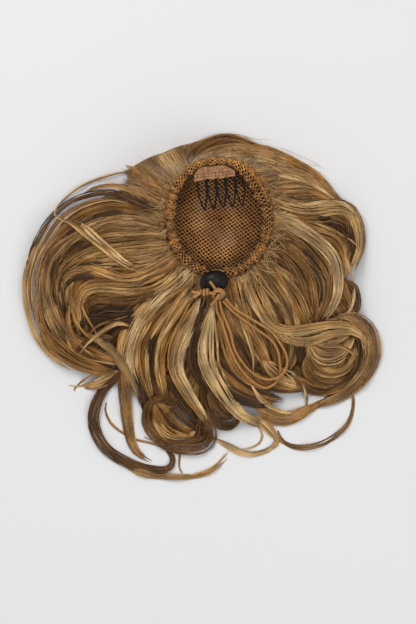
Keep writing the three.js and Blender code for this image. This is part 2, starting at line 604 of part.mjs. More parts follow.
// One lock: a ridged section swept along its plan, riding on the height of the hair and never under z = 0
function hairLock({ width, lift, path }) {
  const points = rootedPath(path).map(([x, y]) => new THREE.Vector3(x, y, 0));
  const plan = new THREE.CatmullRomCurve3(points, false, "centripetal");
  const more = plan.getLength() / LOCK_STEPS.length + turning(path) / LOCK_STEPS.turn;
  const steps = LOCK_STEPS.fewest + Math.round(more);
  const sweep = new THREE.CylinderGeometry(1, 1, 1, LOCK_SHAPE.sides, steps);
  return reshape(sweep, (vertex) => {
    const share = THREE.MathUtils.clamp(vertex.y + 0.5, 0, 1);
    const centre = plan.getPointAt(share);
    const side = plan.getTangentAt(share).cross(UP).normalize();
    const halfWidth = width / 2 * lockWidth(share);
    const halfHeight = halfWidth * LOCK_SHAPE.flatness;
    const ride = Math.max(halfHeight, hairHeight(centre.x, centre.y) - halfHeight / 2 + lift);
    centre.addScaledVector(side, vertex.x / RIDGE_HALF_WIDTH * halfWidth);
    centre.z = Math.max(0, ride + vertex.z * halfHeight);
    return centre;
  });
}

// The room that the cap, its casing and whatever goes into it take out of the hair
function capRoom() {
  const open = RIM.height * 2;
  const edge = CASING.halfWidth * (1 + GATHERS.pleat) + 3 * GAP;
  const wall = POCKET_STATIONS.map((share) => new THREE.Vector2(share, 0));
  const profile = [...wall, new THREE.Vector2(1, 1), new THREE.Vector2(1, 2), new THREE.Vector2(0, 2)];
  return reshape(new THREE.LatheGeometry(profile, POCKET.segments), (vertex) => {
    const { angle, radius, height } = latheCoordinates(vertex);
    const under = rimHeight(angle) - CASING.halfHeight - GAP;
    if (height < 0.5) {
      return pocketPoint(angle, radius, POCKET.wall + GAP);
    }
    return polar(angle, radius * (rimRadius(angle) + edge), height < 1.5 ? under : open);
  });
}

// A tall round room over a point, for what lies on the hair there
function standingRoom(centre, radius) {
  const room = new THREE.SphereGeometry(radius, ROOM_FACETS.round, ROOM_FACETS.up);
  return reshape(room, (vertex) => {
    const stretch = vertex.z > 0 ? RIM.height / radius : 1;
    return new THREE.Vector3(vertex.x, vertex.y, vertex.z * stretch).add(centre);
  });
}

function hair() {
  const full = joined([hairBed(), ...LOCKS.map(hairLock)]);
  const tailMiddle = TAIL_START.clone().addScaledVector(TAIL_AIM, TAIL.pitch * TAIL.turns);
  const rooms = [
    capRoom(),
    standingRoom(BEAD_CENTRE, BEAD.radius + 2 * GAP),
    standingRoom(KNOT_CENTRE, KNOT.radius * (1 + KNOT.spread) + KNOT.thickness + 2 * GAP),
    standingRoom(tailMiddle, TAIL.pitch * TAIL.turns + CORD.diameter),
  ];
  return mainBody(rooms.map(solidFrom).reduce((rest, room) => rest.subtract(room), full));
}

// The assembly

const COLOURS = {
  net: { color: 0xa87838, roughness: 0.85, metalness: 0 },
  cord: { color: 0xb57c45, roughness: 0.6, metalness: 0 },
  bead: { color: 0x121213, roughness: 0.35, metalness: 0 },
  wire: { color: 0x16161a, roughness: 0.4, metalness: 0.3 },
  tape: { color: 0xb07d5f, roughness: 0.8, metalness: 0 },
  hair: { color: 0x9a7140, roughness: 0.5, metalness: 0 },
};

const hairpiece = new THREE.Group();

function addPiece(name, colour, geometry, parent = hairpiece) {
  const mesh = new THREE.Mesh(geometry, new THREE.MeshStandardMaterial(COLOURS[colour]));
  mesh.name = name;
  parent.add(mesh);
  return mesh;
}

addPiece("net_cap", "net", geometryFrom(netCap()));
addPiece("rim_casing", "net", geometryFrom(mainBody(openedCasing())));
addPiece("drawstring", "cord", drawstring(CORD.diameter / 2));

const bead = addPiece("cord_lock", "bead", cordLock());
bead.position.copy(BEAD_CENTRE);
bead.quaternion.setFromUnitVectors(AXIS, BEAD_AXIS);

const mainKnot = addPiece("drawstring_knot", "cord", knot());
mainKnot.position.copy(KNOT_CENTRE);
mainKnot.quaternion.setFromUnitVectors(UP, KNOT_AXIS);

addPiece("tail_knot", "cord", geometryFrom(tailKnot()));
addPiece("cord_loop_left", "cord", cordLoop(LEFT_LOOP_ROUTE));
addPiece("cord_loop_right", "cord", cordLoop(RIGHT_LOOP_ROUTE));

const combGroup = new THREE.Group();
combGroup.position.copy(COMB_PLACE);
combGroup.rotation.set(COMB_SLOPE, 0, COMB_TURN, "ZYX");
hairpiece.add(combGroup);
addPiece("comb", "wire", geometryFrom(comb()), combGroup);
const tape = addPiece("comb_tape", "tape", combTape(), combGroup);
tape.position.set(TAPE_PLACE.across, TAPE_PLACE.up, COMB_BAR.thickness / 2 + GAP);

addPiece("hair", "hair", geometryFrom(hair()));

export default hairpiece;
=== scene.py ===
"""Looks of a drawstring hairpiece: strands of wavy hair round a gathered net pocket, with comb and cord.

Sizes and places are in millimetres, in the frame of the CAD part, and meshes are made in metres.
"""

import math
from collections import namedtuple

import bpy
import numpy as np
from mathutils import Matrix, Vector


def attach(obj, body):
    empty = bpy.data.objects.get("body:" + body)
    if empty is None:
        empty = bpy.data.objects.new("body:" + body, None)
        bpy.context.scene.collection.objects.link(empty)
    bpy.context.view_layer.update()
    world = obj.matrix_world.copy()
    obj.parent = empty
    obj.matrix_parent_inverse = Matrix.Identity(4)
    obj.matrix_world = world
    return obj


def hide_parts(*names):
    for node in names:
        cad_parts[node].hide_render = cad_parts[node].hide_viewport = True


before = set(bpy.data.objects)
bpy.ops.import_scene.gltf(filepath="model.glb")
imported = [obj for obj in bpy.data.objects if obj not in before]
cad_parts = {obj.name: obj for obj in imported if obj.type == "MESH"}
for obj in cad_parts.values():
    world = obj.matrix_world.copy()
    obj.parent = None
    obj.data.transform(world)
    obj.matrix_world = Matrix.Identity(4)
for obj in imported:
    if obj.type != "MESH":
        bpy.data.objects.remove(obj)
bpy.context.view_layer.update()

MM = 0.001
COLOUR_ATTRIBUTE = "Col"
SEED = 7
FULL_TURN = 2 * math.pi
UP = np.array([0.0, 0.0, 1.0])
CLEARANCE = 0.3
# A path whose cross direction is shorter than this counts as upright
UPRIGHT_LIMIT = 0.1
# Points of a line that is worked out finely, and steps in each stretch of a smooth curve
LINE_POINTS = 200
CURVE_STEPS = 24


def unit(vectors):
    return vectors / np.maximum(np.linalg.norm(vectors, axis=-1, keepdims=True), 1e-9)


# Rim, pocket and casing, as in the CAD part
RIM = {"half_width": 33.8, "half_length": 38.8, "height": 51, "rise": 3, "squareness": 2.15}
POCKET = {"wall": 1.2, "depth": 26, "steepness": 4}
CASING = {
    "half_width": 2.9, "half_height": 2.6, "narrowing": 0.35, "narrowing_power": 3, "open_half_angle": 10,
}

# Net threads of the pocket: spacing in plan, radius, waviness and the two directions of the weave
NET = {
    "spacing": 2.1, "radius": 0.3, "sides": 5, "step": 0.9, "weave": 0.25, "slants": (30, -48),
    "wobble": 0.16, "wobble_rate": 0.35, "lane_shift": 1.7, "edge_share": 0.99, "fewest_points": 5,
}
# Painted shade on the net in the hollow under the casing: from which share of the way out it starts, and
# how far it darkens
NET_HOLLOW_SHADE = {"from_share": 0.66, "darkening": 0.75}

# Casing braid, how its threads sway along it, and the gathers across it in stretches given in degrees
BRAID = {"threads": 6, "turns": 13, "steps": 440, "radius": 0.3, "sides": 4, "over": 0.06}
Sway = namedtuple("Sway", "size count thread_shift")
BRAID_SWAYS = [Sway(0.12, 9, 1), Sway(0.1, 23, 2)]
RIBS = {
    "spacing": 1.25, "steps": 8, "stretches": ((148, 222), (285, 345)),
    "end": 0.6, "shift": 0.01, "slant": 0.03, "swell": (1.04, 1.2),
}
# Hem inside the braid, painted nearly black as the shade seen through the braid's gaps: its points round
# and across, and how far it is drawn in
HEM = {"around": 240, "section": 12, "swell": 0.55}
# Waves that gather the casing: share of its width, count round the rim, and how the count itself sways
Gather = namedtuple("Gather", "size count sway sway_count phase")
GATHERS = [Gather(0.15, 37, 2, 5, 0), Gather(0.1, 61, 3, 3, math.pi / 2), Gather(0.13, 13, 2, 3, 0)]
GATHER_IN_HEIGHT = 0.1
# Painted light and shade on the casing: shade between the gathers and down its sides, painted light where
# the comb stretches it flat
CASING_SHADE = {"between_gathers": 1.6, "down_sides": 0.5, "at_comb": 0.5, "comb_power": 3}
# The open net panel of the casing: its middle and half spread in degrees, and how far it lies inwards
PANEL = {"middle": 42, "spread": 26, "widening": 0.7, "inwards": 2.6, "fall": 0.35}

# Hair, as in the CAD part: its reach from the middle of the cap by direction, in degrees from +X
HAIR = {"edge_height": 12, "edge_fall": 10, "below_rim": 2, "swell": 1.7, "slope": 1.15}
HAIR_REACH = [
    (0, 95), (10, 83), (20, 70), (32, 62), (45, 54), (63, 49), (90, 48), (111, 48), (130, 52),
    (145, 60), (157, 67), (170, 93), (182, 120), (198, 140), (214, 150), (226, 146), (238, 130),
    (248, 136), (260, 146), (270, 144), (280, 138), (290, 128), (300, 134), (312, 146), (321, 136),
    (330, 110), (345, 99), (360, 95),
]
# Body under the strands: where it starts and stops, how far it lies below the hair, its grid, and its
# painted shade: dimmed under the strands, and nearly black on the wall behind the net
BED = {
    "start": 1, "inset": 9, "sink": 4.5, "around": 600, "along": 20, "pocket_rings": 9,
    "swirl": 60, "shade": 0.8, "net_shade": 0.2,
}

# Width along a lock, by share of its broadest; locks that start off the cap are narrow at both ends
LOCK_FLATNESS = 0.58
LOCK_SHAPE = {"root_share": 0.8, "root_stretch": 0.2, "tip_share": 0.28}
FREE_LOCK_SHAPE = {"root_share": 0.12, "root_stretch": 0.3, "tip_share": 0.15}
# How near the cap a root counts as rooted there, where it starts, and over which share of a lock it rises
LOCK_ROOT = {"within": 8, "start": 1, "rise_share": 0.15}
# Strands: how many to a millimetre of a lock's width, thickness, and shade and taper at their ends
STRANDS = {
    "per_mm": 7, "per_wisp": 6, "fewest_wisps": 2, "spread": 1.1, "radius": 0.21, "sides": 3,
    "uneven": (0.75, 1.2), "root_shade": 0.75, "root_share": 0.2,
    "taper": 5, "taper_end": 1.02, "thinnest": 0.35,
}
# Points along a strand: the fewest, and one more for each length and for each part of a turn
STRAND_POINTS = {"fewest": 4, "spacing": 12, "per_radian": 1.6}
# Wisps, in which strands clump: place in a lane, depth in the upper or lower part of a lock, and wandering
WISPS = {
    "radius": 0.85, "uneven": (0.6, 1.4), "full_from": 3, "root_size": 1.1, "tip_loss": 0.6,
    "flatness": 0.6, "in_lane": (0.1, 0.9), "upper_share": 0.65, "upper": (0.7, 1.05), "lower": (-0.4, 0.6),
    "drift": 0.25, "wander": (0.05, 0.2), "wander_turns": (0.5, 1.2), "outermost": 1.15,
}
# Where wisps and their strands start and end, by share of a lock
ENDS = {
    "wisp_start": 0.03, "strand_start": 0.04, "tucked": 0.97, "free": 0.86,
    "strand_short": 0.22, "power": 1.5,
}
# Waves along the strands: length, height, and painted light and shade, with crests painted lighter than
# troughs
WAVES = {"length": 27, "height": 0.9, "shade": 0.2, "uneven": 0.12}
# Small sideways waves of single strands
FINE_WAVES = {"length": 40, "height": 0.3}
# Streaks of colour over a lock, and how far single strands differ from them
STREAKS = {"fewest": 2, "width": 2.2, "reach": 1.1, "mixed": 0.5, "uneven": (0.85, 1.15)}
# Strands that fill the way between two locks, sunk and painted darker as the shade between them
FILL = {
    "per_mm": 5, "fewest": 4, "sink": 2.6, "height": (-1.5, 1.2), "start": 0.08, "length": (0.75, 0.92),
    "wave": 0.06, "wave_turns": (0.6, 2), "shade": 0.68, "uneven": (0.8, 1.2),
}
# Short fuzzy strands from under the casing
ROOTS = {
    "count": 850, "points": 7, "length": (9, 26), "depth_share": 0.7, "lean": 0.5, "bend": 0.6,
    "lift": 1.4, "start": 3, "settled_share": 0.35, "arch": 0.8,
}
# Locks of these regions turn under at the edge of the hair, which lies a little beyond its reach
TUCKED_REGIONS = ("edge",)
TUCK = {"overhang": 9, "uneven": 0.7, "stretch": 9, "wisp_spread": 2.4, "more_points": 4}
# Single hairs that have come loose from their locks
FLYAWAYS = {
    "count": 380, "points": 10, "radius": 0.13, "span": (0.25, 0.6), "margin": 0.05, "offset": 0.6,
    "stray": 4, "stray_power": 1.5, "lift": (0.6, 3), "arch": 1.5,
}

# Photograph: its height in pixels, the scale on the table, and the point of the part at its middle
IMAGE = {"height": 624, "mm_per_pixel": 0.7}
VIEW_CENTRE = (-7.7, -65.8)
# Camera straight above, and the studio round the part
CAMERA = {"distance": 2400, "focus_height": 25, "sensor": 36, "clip_end": 10000}
FLOOR_HALF = 3000
WORLD_STRENGTH = 0.5
Light = namedtuple("Light", "name place size power")
LIGHTS = [Light("key", (-500, 700, 1400), 900, 12), Light("fill", (700, -500, 1300), 900, 5)]

# Cloth and thread: detail and ramp of the noise, its height, and sheen; hard pieces: noise, tint and gloss
FABRIC = {"noise_detail": 4, "ramp": (0.3, 0.7), "bump_height": 0.3, "sheen": 0.05}
HARD = {"noise_scale": 900, "tint": (0.8, 1.2), "uneven_gloss": 0.06, "specular": 0.3}
# Hair colours, as sRGB bytes
HAIR_COLOURS = {
    "shadow": (70, 46, 22),
    "brown": (124, 84, 43),
    "golden": (188, 136, 68),
    "ash": (172, 134, 86),
    "light": (222, 182, 120),
    "pale": (240, 212, 162),
}
# Shares of each colour in the wisps of a lock, by its tone
TONES = {
    # Painted shade: nearly black strands laid over the hair where the gaps between locks lie in shadow
    "hollow_shade": {"shadow": 0.9, "brown": 0.1},
    "dark": {"shadow": 0.55, "brown": 0.45},
    "brown": {"shadow": 0.2, "brown": 0.5, "golden": 0.3},
    "golden": {"brown": 0.3, "golden": 0.45, "light": 0.25},
    "honey": {"golden": 0.55, "light": 0.45},
    "ash": {"brown": 0.25, "ash": 0.45, "light": 0.3},
    "light": {"brown": 0.14, "golden": 0.2, "light": 0.36, "pale": 0.3},
}

# Locks by region: tone, width at the broadest, lift over the height of the hair, plan from root to tip,
# and whether strands fill the way to the next lock of the list
Lock = namedtuple("Lock", "tone width lift path joined", defaults=[False])
LOCKS = {}
LOCKS["edge"] = [
    Lock("golden", 14, 1, [(-36, 17), (-47, 25.5), (-65, 41)], True),
    Lock("ash", 14, 0, [(-33, 24), (-48, 43), (-53, 50)], True),
    Lock("light", 14, 1, [(-28, 31), (-38, 47), (-40, 54)], True),
    Lock("ash", 14, 0, [(-22, 36), (-27, 50), (-27, 58)], True),
    Lock("ash", 14, 0, [(-12, 39), (-14, 46), (-12, 53), (-5, 61)], True),
    Lock("golden", 15, 0, [(4, 41), (6, 49), (9, 62)], True),
    Lock("brown", 15, 0, [(18, 39), (23, 46), (29, 57)], True),
    Lock("golden", 15, 0, [(30, 33), (38, 40), (48, 50)]),
]
LOCKS["top"] = [
    Lock("brown", 12, 2, [(-24, 35), (-16, 45), (-6, 52), (5, 55), (17, 53.5), (29, 49), (41, 46)], True),
    Lock("ash", 11, 3, [(-15, 38), (-6, 45.5), (18, 49.5), (46, 42)], True),
    Lock("light", 11, 2, [(-5, 40), (5, 44), (30, 44.5), (58, 32)]),
    Lock("ash", 14, 0, [(-36, 10), (-48, 16), (-59, 22), (-70, 25)], True),
    Lock("golden", 14, 0, [(-36, 16), (-46, 22), (-56, 30), (-68, 36)]),
]
LOCKS["right"] = [
    Lock("golden", 11, 1, [(8, 41), (24, 47), (40, 44.5), (66, 31), (85, 13)], True),
    Lock("ash", 13, 0, [(18, 40), (34, 40), (62, 29.5), (82, 12)], True),
    Lock("golden", 13, 1, [(27, 34), (40, 31), (53, 30), (65, 26), (76, 19)], True),
    Lock("golden", 13, 0, [(33, 25), (46, 22), (59, 22.5), (71, 20), (89, 8)], True),
    Lock("ash", 12, 1.5, [(36, 14), (59, 6), (88, 8), (95, 3), (100, -17), (97, -29), (91, -40)], True),
    Lock("brown", 13, 0, [
        (38, 6), (54, -1), (68, -2), (80, -1), (88, -4), (93, -11), (94, -20), (86, -42),
    ], True),
    Lock("golden", 13, 0, [(38, 0), (54, -7), (81, -15), (88, -25), (88, -37), (83, -48)], True),
    Lock("golden", 14, 0, [(38, -8), (57, -20), (74, -41), (75.5, -52), (69, -73)], True),
    Lock("brown", 14, 1, [(37, -19), (50, -29), (59.5, -41.5), (65.5, -68), (65, -80)], True),
    Lock("golden", 14, 0, [(34, -29), (55, -55), (63, -80.5), (58, -108)], True),
    Lock("golden", 14, 0, [(27, -35), (49, -69), (52, -95), (47, -109)], True),
    Lock("brown", 14, 0, [(17, -38), (25, -54), (42, -83), (44, -97), (41, -110)], True),
    Lock("golden", 14, 0, [(8, -40), (16, -70), (32, -98), (35, -111)]),
    Lock("light", 10, 3.5, [(38, 0), (47, -3), (80, -27), (83.5, -51), (79, -63), (71, -73)]),
    Lock("light", 7, 4, [
        (21, -40), (23, -52), (35.5, -74), (47, -79), (78, -75), (92, -75.5), (102, -82), (108, -92),
    ]),
    Lock("ash", 7, 3, [
        (27, -40), (35.5, -68), (42, -79), (51, -85.5), (63, -86.5), (75.5, -82), (89, -79.5), (99, -82),
        (106, -92), (106, -105),
    ]),
]
LOCKS["curl"] = [
    Lock("brown", 12, 0, [(88, -42), (94, -52), (95.5, -62), (91, -72)]),
    Lock("ash", 12, 2, [(80, -69), (95, -70), (104, -78), (107.5, -99), (95, -119), (62, -136)], True),
    Lock("brown", 12, 1, [
        (73, -72), (88, -73), (98, -79), (102.5, -89), (97, -109.5), (77, -122), (65, -125),
    ], True),
    Lock("brown", 11, 0, [(60, -94), (61.5, -106), (68, -114), (79, -117), (90, -114), (99, -105)], True),
    Lock("golden", 10, 0, [
        (62, -90), (65, -100), (71.5, -106.5), (81, -108.5), (90, -105), (95, -98), (95.5, -89),
    ], True),
    Lock("ash", 10, 0, [(64, -86), (68, -92.5), (75.5, -96), (84.5, -94.5), (91, -89), (96, -81)]),
    Lock("golden", 10, 0, [(64, -78), (70, -84), (78, -87.5), (87, -85), (94, -79)], True),
    Lock("brown", 10, 0, [(50, -109), (59, -117), (70, -121.5), (84, -120)]),
    Lock("golden", 9, 0, [(24, -131), (35, -138), (46.5, -141), (81, -126)]),
]
LOCKS["middle"] = [
    Lock("golden", 13, 0, [(2, -58), (14, -106), (24, -115), (38, -120)], True),
    Lock("brown", 12, 0, [(-4, -98), (4, -111), (16, -120), (32, -126), (48, -129)]),
    Lock("golden", 11, 0, [(30, -98), (39, -108), (50, -115.5), (64, -119)], True),
    Lock("brown", 9, 0, [(20, -107), (32, -115.5), (45, -120), (60, -121.5)]),
    Lock("brown", 13, 0, [(-8, -120), (4, -137), (12, -140)]),
    Lock("dark", 12, 0, [(-12, -56), (-18, -76), (-19, -92), (-14, -107), (-5, -119)], True),
    Lock("light", 13, 2, [(-4, -58), (-9, -90), (-7, -104), (11, -134), (21, -142), (42, -150)]),
    Lock("brown", 10, 0, [(-12, -110), (-4, -140.5), (2, -146), (9, -146.5), (14, -141), (16, -134)]),
    Lock("light", 5, 0, [(-6, -154), (18.5, -166), (30, -165.5), (39, -160), (41.5, -152)]),
]
LOCKS["ring"] = [
    Lock("brown", 12, 1, [
        (-14, -132), (-8.5, -141), (-8, -155.5), (-15, -159.5), (-37.5, -158), (-50.5, -144.5),
        (-48, -130), (-40.5, -126.5), (-30, -126),
    ], True),
    Lock("golden", 10, 0, [
        (-16, -150), (-26, -155), (-35, -153.5), (-41.5, -148), (-44, -140), (-42, -133), (-35, -130),
    ], True),
    Lock("brown", 11, 0, [(-22, -147), (-30, -149.5), (-36, -144), (-36, -136), (-30, -132)]),
    Lock("dark", 18, -1.5, [(-42, -108), (-15, -145), (-4, -155)]),
    Lock("dark", 14, -2, [(-54, -104), (-43, -127), (-39, -152)]),
    Lock("brown", 14, 0, [(-46, -128), (-34, -145), (-25, -150), (-15, -152)]),
    Lock("hollow_shade", 12, 0, [(-64, -98), (-54, -125), (-52, -138)]),
    Lock("light", 13, 2, [(-13, -55), (-30, -95), (-29.5, -108), (-9, -143), (-7.5, -151)]),
    Lock("golden", 13, 0, [(-14, -50), (-29, -65), (-42, -95), (-37, -133)], True),
    Lock("golden", 13, 2, [
        (-17, -45), (-34, -59), (-46, -73), (-53, -88), (-54, -104), (-46, -132),
    ], True),
    Lock("light", 11, 1, [
        (-18, -40), (-48, -65), (-58, -79), (-62, -93), (-61, -107), (-55, -122),
    ], True),
    Lock("golden", 12, 0, [(-20, -37), (-32, -44), (-62, -76), (-68.5, -98), (-60, -121)]),
    Lock("ash", 6, 2, [(-96, -79), (-77, -91.5), (-58, -121), (-55, -134)]),
    Lock("golden", 9, 0, [(-66, -98), (-67, -112), (-60, -161), (-53, -169), (-44, -173.5)]),
    Lock("dark", 8, 0, [
        (-58, -96), (-74, -113.5), (-82, -121.5), (-89, -142), (-80, -162), (-58, -175), (-36.5, -177),
        (-32.5, -173), (-33, -167.5), (-45, -157.5), (-54, -154.5),
    ]),
    Lock("ash", 5, 0, [(-76, -168), (-52, -180), (-11, -181), (0, -175), (7.5, -166.5)]),
]
LOCKS["left_outer"] = [
    Lock("golden", 4, 1.5, [(-38, 8), (-64, 20.5), (-78, 23.5), (-88.5, 21.5), (-98, 16)]),
    Lock("dark", 4.5, 2.5, [
        (-37, 3), (-54, 9.5), (-75, 18), (-96.5, 15.5), (-115, 4.5), (-132, -22), (-136.5, -43),
    ]),
    Lock("honey", 5, 1, [
        (-117, -2), (-127, -16), (-134.5, -34), (-136.5, -53), (-128, -85), (-112, -102.5),
        (-100, -108.5),
    ]),
    Lock("brown", 9, 0, [
        (-37, -3), (-69.5, 5), (-91, 2), (-113, -15), (-123, -32.5), (-126, -65.5), (-119.5, -86.5),
        (-102, -102), (-91, -107),
    ], True),
    Lock("ash", 12, 1.5, [
        (-37, -7), (-49, -3.5), (-81.5, -3), (-114.5, -23), (-121, -40), (-120.5, -63), (-110, -86),
        (-100, -94),
    ], True),
    Lock("golden", 12, 0, [
        (-37, -12), (-84, -12), (-108.5, -28), (-113, -37), (-114, -59), (-105.5, -80.5), (-98, -89),
    ], True),
    Lock("golden", 12, 1, [
        (-36, -19), (-60, -19), (-90, -24), (-105.5, -35), (-109, -43), (-108, -63), (-104, -74),
    ], True),
    Lock("ash", 12, 0.5, [
        (-34, -26), (-57, -29.5), (-79, -30.5), (-98, -35), (-103.5, -41), (-104, -60), (-100, -70),
    ]),
    Lock("golden", 4, 4, [(-111.5, 0), (-104, -3.5), (-63, -35), (-55, -37.5)]),
    Lock("light", 4.5, 4.5, [(-102, -1.5), (-94.5, -6), (-64, -31.5), (-56, -34.5)]),
]
# Light locks, and strands painted nearly black as the shade in gaps between locks, over the others
LOCKS["left_accents"] = [
    Lock("hollow_shade", 5, 2.5, [(-58, 3), (-70, 3), (-92.8, -2.9), (-112, -16)]),
    Lock("ash", 5, 3, [(-38, -8), (-71.4, -1), (-91, -7), (-101, -13)]),
    Lock("ash", 6, 3, [
        (-92, -8), (-99, -11), (-115, -22.5), (-120, -30), (-122, -48.5), (-113, -73), (-105, -82),
    ]),
    Lock("hollow_shade", 6, 2.5, [
        (-78, -15), (-91, -17.2), (-107, -24), (-115.5, -36.5), (-115, -56), (-110, -68),
    ]),
    Lock("brown", 7, 2.5, [
        (-66, -35), (-78, -32.5), (-101, -33), (-111.5, -44), (-111, -64), (-106, -75),
    ]),
    Lock("light", 6, 3.5, [(-33, -30), (-57, -41), (-68, -42), (-91, -34.5), (-100, -34), (-107, -38)]),
    Lock("ash", 3, 3, [
        (-84, -40), (-98.5, -37), (-105.5, -39), (-110.5, -45), (-111.5, -54), (-109, -65),
    ]),
    Lock("hollow_shade", 4, 3, [
        (-80, -41), (-93, -40.5), (-103, -43), (-108.5, -49), (-109, -59), (-106, -69),
    ]),
    Lock("hollow_shade", 9, 1.5, [(-50, -65), (-64, -69.5), (-76, -71), (-87, -70), (-95, -73), (-97, -82)]),
    Lock("dark", 8, 2, [(-72, -84), (-93, -87), (-101, -94)]),
    Lock("golden", 3, 3, [(-104, -56), (-105, -76), (-92, -94), (-82, -99)]),
    Lock("golden", 1.5, 3, [(-104, -60), (-101, -71), (-94, -81), (-85, -88)]),
    Lock("brown", 2, 3, [(-62, -68), (-86, -76), (-93, -85)]),
    Lock("golden", 1.2, 3, [(-97, -58), (-93, -68), (-81, -89)]),
]
LOCKS["right_accents"] = [
    Lock("hollow_shade", 7, 1.5, [(56, -13), (67, -31), (71, -52), (70, -64)]),
    Lock("hollow_shade", 8, 1.5, [(64, 3), (84, -5), (91, -12), (94, -21), (92, -34)]),
    Lock("dark", 5, 1.5, [(33, -50), (43, -70), (46, -80)]),
    Lock("hollow_shade", 7, 1.5, [(57, -104), (58, -92), (64, -83), (73, -80), (83, -84)]),
    Lock("light", 3.5, 3, [(46, 12), (60, 8), (74, 11), (86, 11), (94, 6), (99, -3)]),
    Lock("light", 3, 3, [(38, 30), (54, 28), (68, 22.5), (80, 14.5)]),
    Lock("light", 3, 2, [(62, -84), (74, -89), (86, -90), (95, -96), (97, -106)]),
    Lock("ash", 3, 2, [(64, -97), (72, -103), (83, -103), (91, -96)]),
]
LOCKS["middle_accents"] = [
    Lock("hollow_shade", 8, 2.5, [(-14, -72), (-19.5, -100), (-9, -123)]),
    Lock("hollow_shade", 6, 1.5, [(-41, -74), (-47, -88), (-48, -102), (-44, -118)]),
    Lock("light", 3, 3, [(-36, -60), (-48, -73), (-56, -88), (-58, -103), (-54, -118)]),
    Lock("ash", 3, 3, [(-20, -55), (-40, -85), (-44, -100), (-42, -116)]),
    Lock("hollow_shade", 7, 1.5, [(10, -80), (22, -104), (34, -112)]),
    Lock("ash", 3, 2.5, [(11, -58), (24, -98), (24, -110)]),
    Lock("hollow_shade", 6, 1.5, [(0, -116), (12, -126), (26, -131), (42, -132)]),
]
LOCKS["left_inner"] = [
    Lock("brown", 12, 1.5, [
        (-31, -32), (-44, -37.5), (-67, -39.5), (-88, -38), (-96, -41), (-100.5, -48), (-100.5, -57),
        (-97, -66),
    ], True),
    Lock("golden", 12, 0.5, [
        (-27, -36), (-51, -47), (-87, -47.5), (-95, -51), (-99, -58.5), (-97, -77), (-91, -86),
    ], True),
    Lock("brown", 11, 0, [
        (-23, -39), (-38, -49), (-64, -58), (-87, -58), (-93.5, -63), (-95.5, -71), (-92.5, -79.5),
        (-86, -87),
    ], True),
    Lock("hollow_shade", 11, 0, [
        (-50, -62), (-60, -66), (-80, -67), (-86.5, -71), (-86, -78), (-80, -84.5), (-72, -89),
    ]),
    Lock("hollow_shade", 12, 0, [(-58, -72), (-73, -80.5), (-76, -87)]),
    Lock("brown", 14, 0, [(-126, -72), (-121, -84), (-101, -100), (-78, -107.5), (-68, -107.5)], True),
    Lock("golden", 12, 0, [(-108, -80), (-99, -89), (-88, -95.5), (-68, -102)]),
    Lock("ash", 9, 0, [(-66, -107), (-88, -117), (-99, -118.5)]),
    Lock("light", 3.5, 4, [(-60, -76.5), (-70.5, -74), (-91, -87), (-99, -97)]),
]
# Loose strands beside the locks
LOCKS["strays"] = [
    Lock("light", 1.2, 3, [(-58, 33), (-68, 33), (-100, 21.5), (-116, 3.5), (-104, -4), (-96, -10)]),
    Lock("golden", 4, 0, [
        (-60, 9), (-77, 13), (-97, 9), (-113, -3), (-130, -31), (-133, -51), (-128.5, -74), (-123, -86),
    ]),
    Lock("golden", 4, 0, [
        (41, -148), (45, -157), (53.5, -161.5), (74, -159), (92, -143.5), (94.5, -124), (87, -115),
    ]),
    Lock("light", 2.4, 1, [(41.5, -104), (53, -109), (60.5, -119), (60, -138), (44, -149)]),
    Lock("light", 3, 3.5, [(22, -116), (28.5, -126), (37, -133), (56, -137.5), (60.5, -132)]),
    Lock("golden", 1.8, 0, [
        (-79, -128), (-80.5, -135), (-77, -144), (-61, -155.5), (-50, -158), (-40, -162),
    ]),
    Lock("golden", 1.4, 0, [(-27, -160), (-28, -176), (-25, -181)]),
    Lock("light", 7, 0, [(24, -138), (34, -147), (41, -155), (48, -160)]),
    Lock("golden", 5, 0, [(30, -146), (38, -152), (41, -158), (36, -163)]),
    Lock("light", 2, 0, [(27, -146), (30.5, -152), (29, -158), (22, -162), (13, -163)]),
    Lock("light", 1.8, 1, [(84, -22), (90.5, -32), (95, -54), (92, -64), (78, -78)]),
    Lock("light", 1.5, 2, [(60, -2), (71.5, -5.5), (95, -17), (101, -25)]),
    Lock("golden", 2, 1, [(-31, -183), (-9, -178), (1, -171), (8, -162)]),
    Lock("light", 1.5, 0, [(-80, -110), (-90, -116), (-100, -118.5), (-108, -117)]),
    Lock("golden", 2, 0, [(-84, -108), (-94, -113), (-101, -119), (-104, -124)]),
]

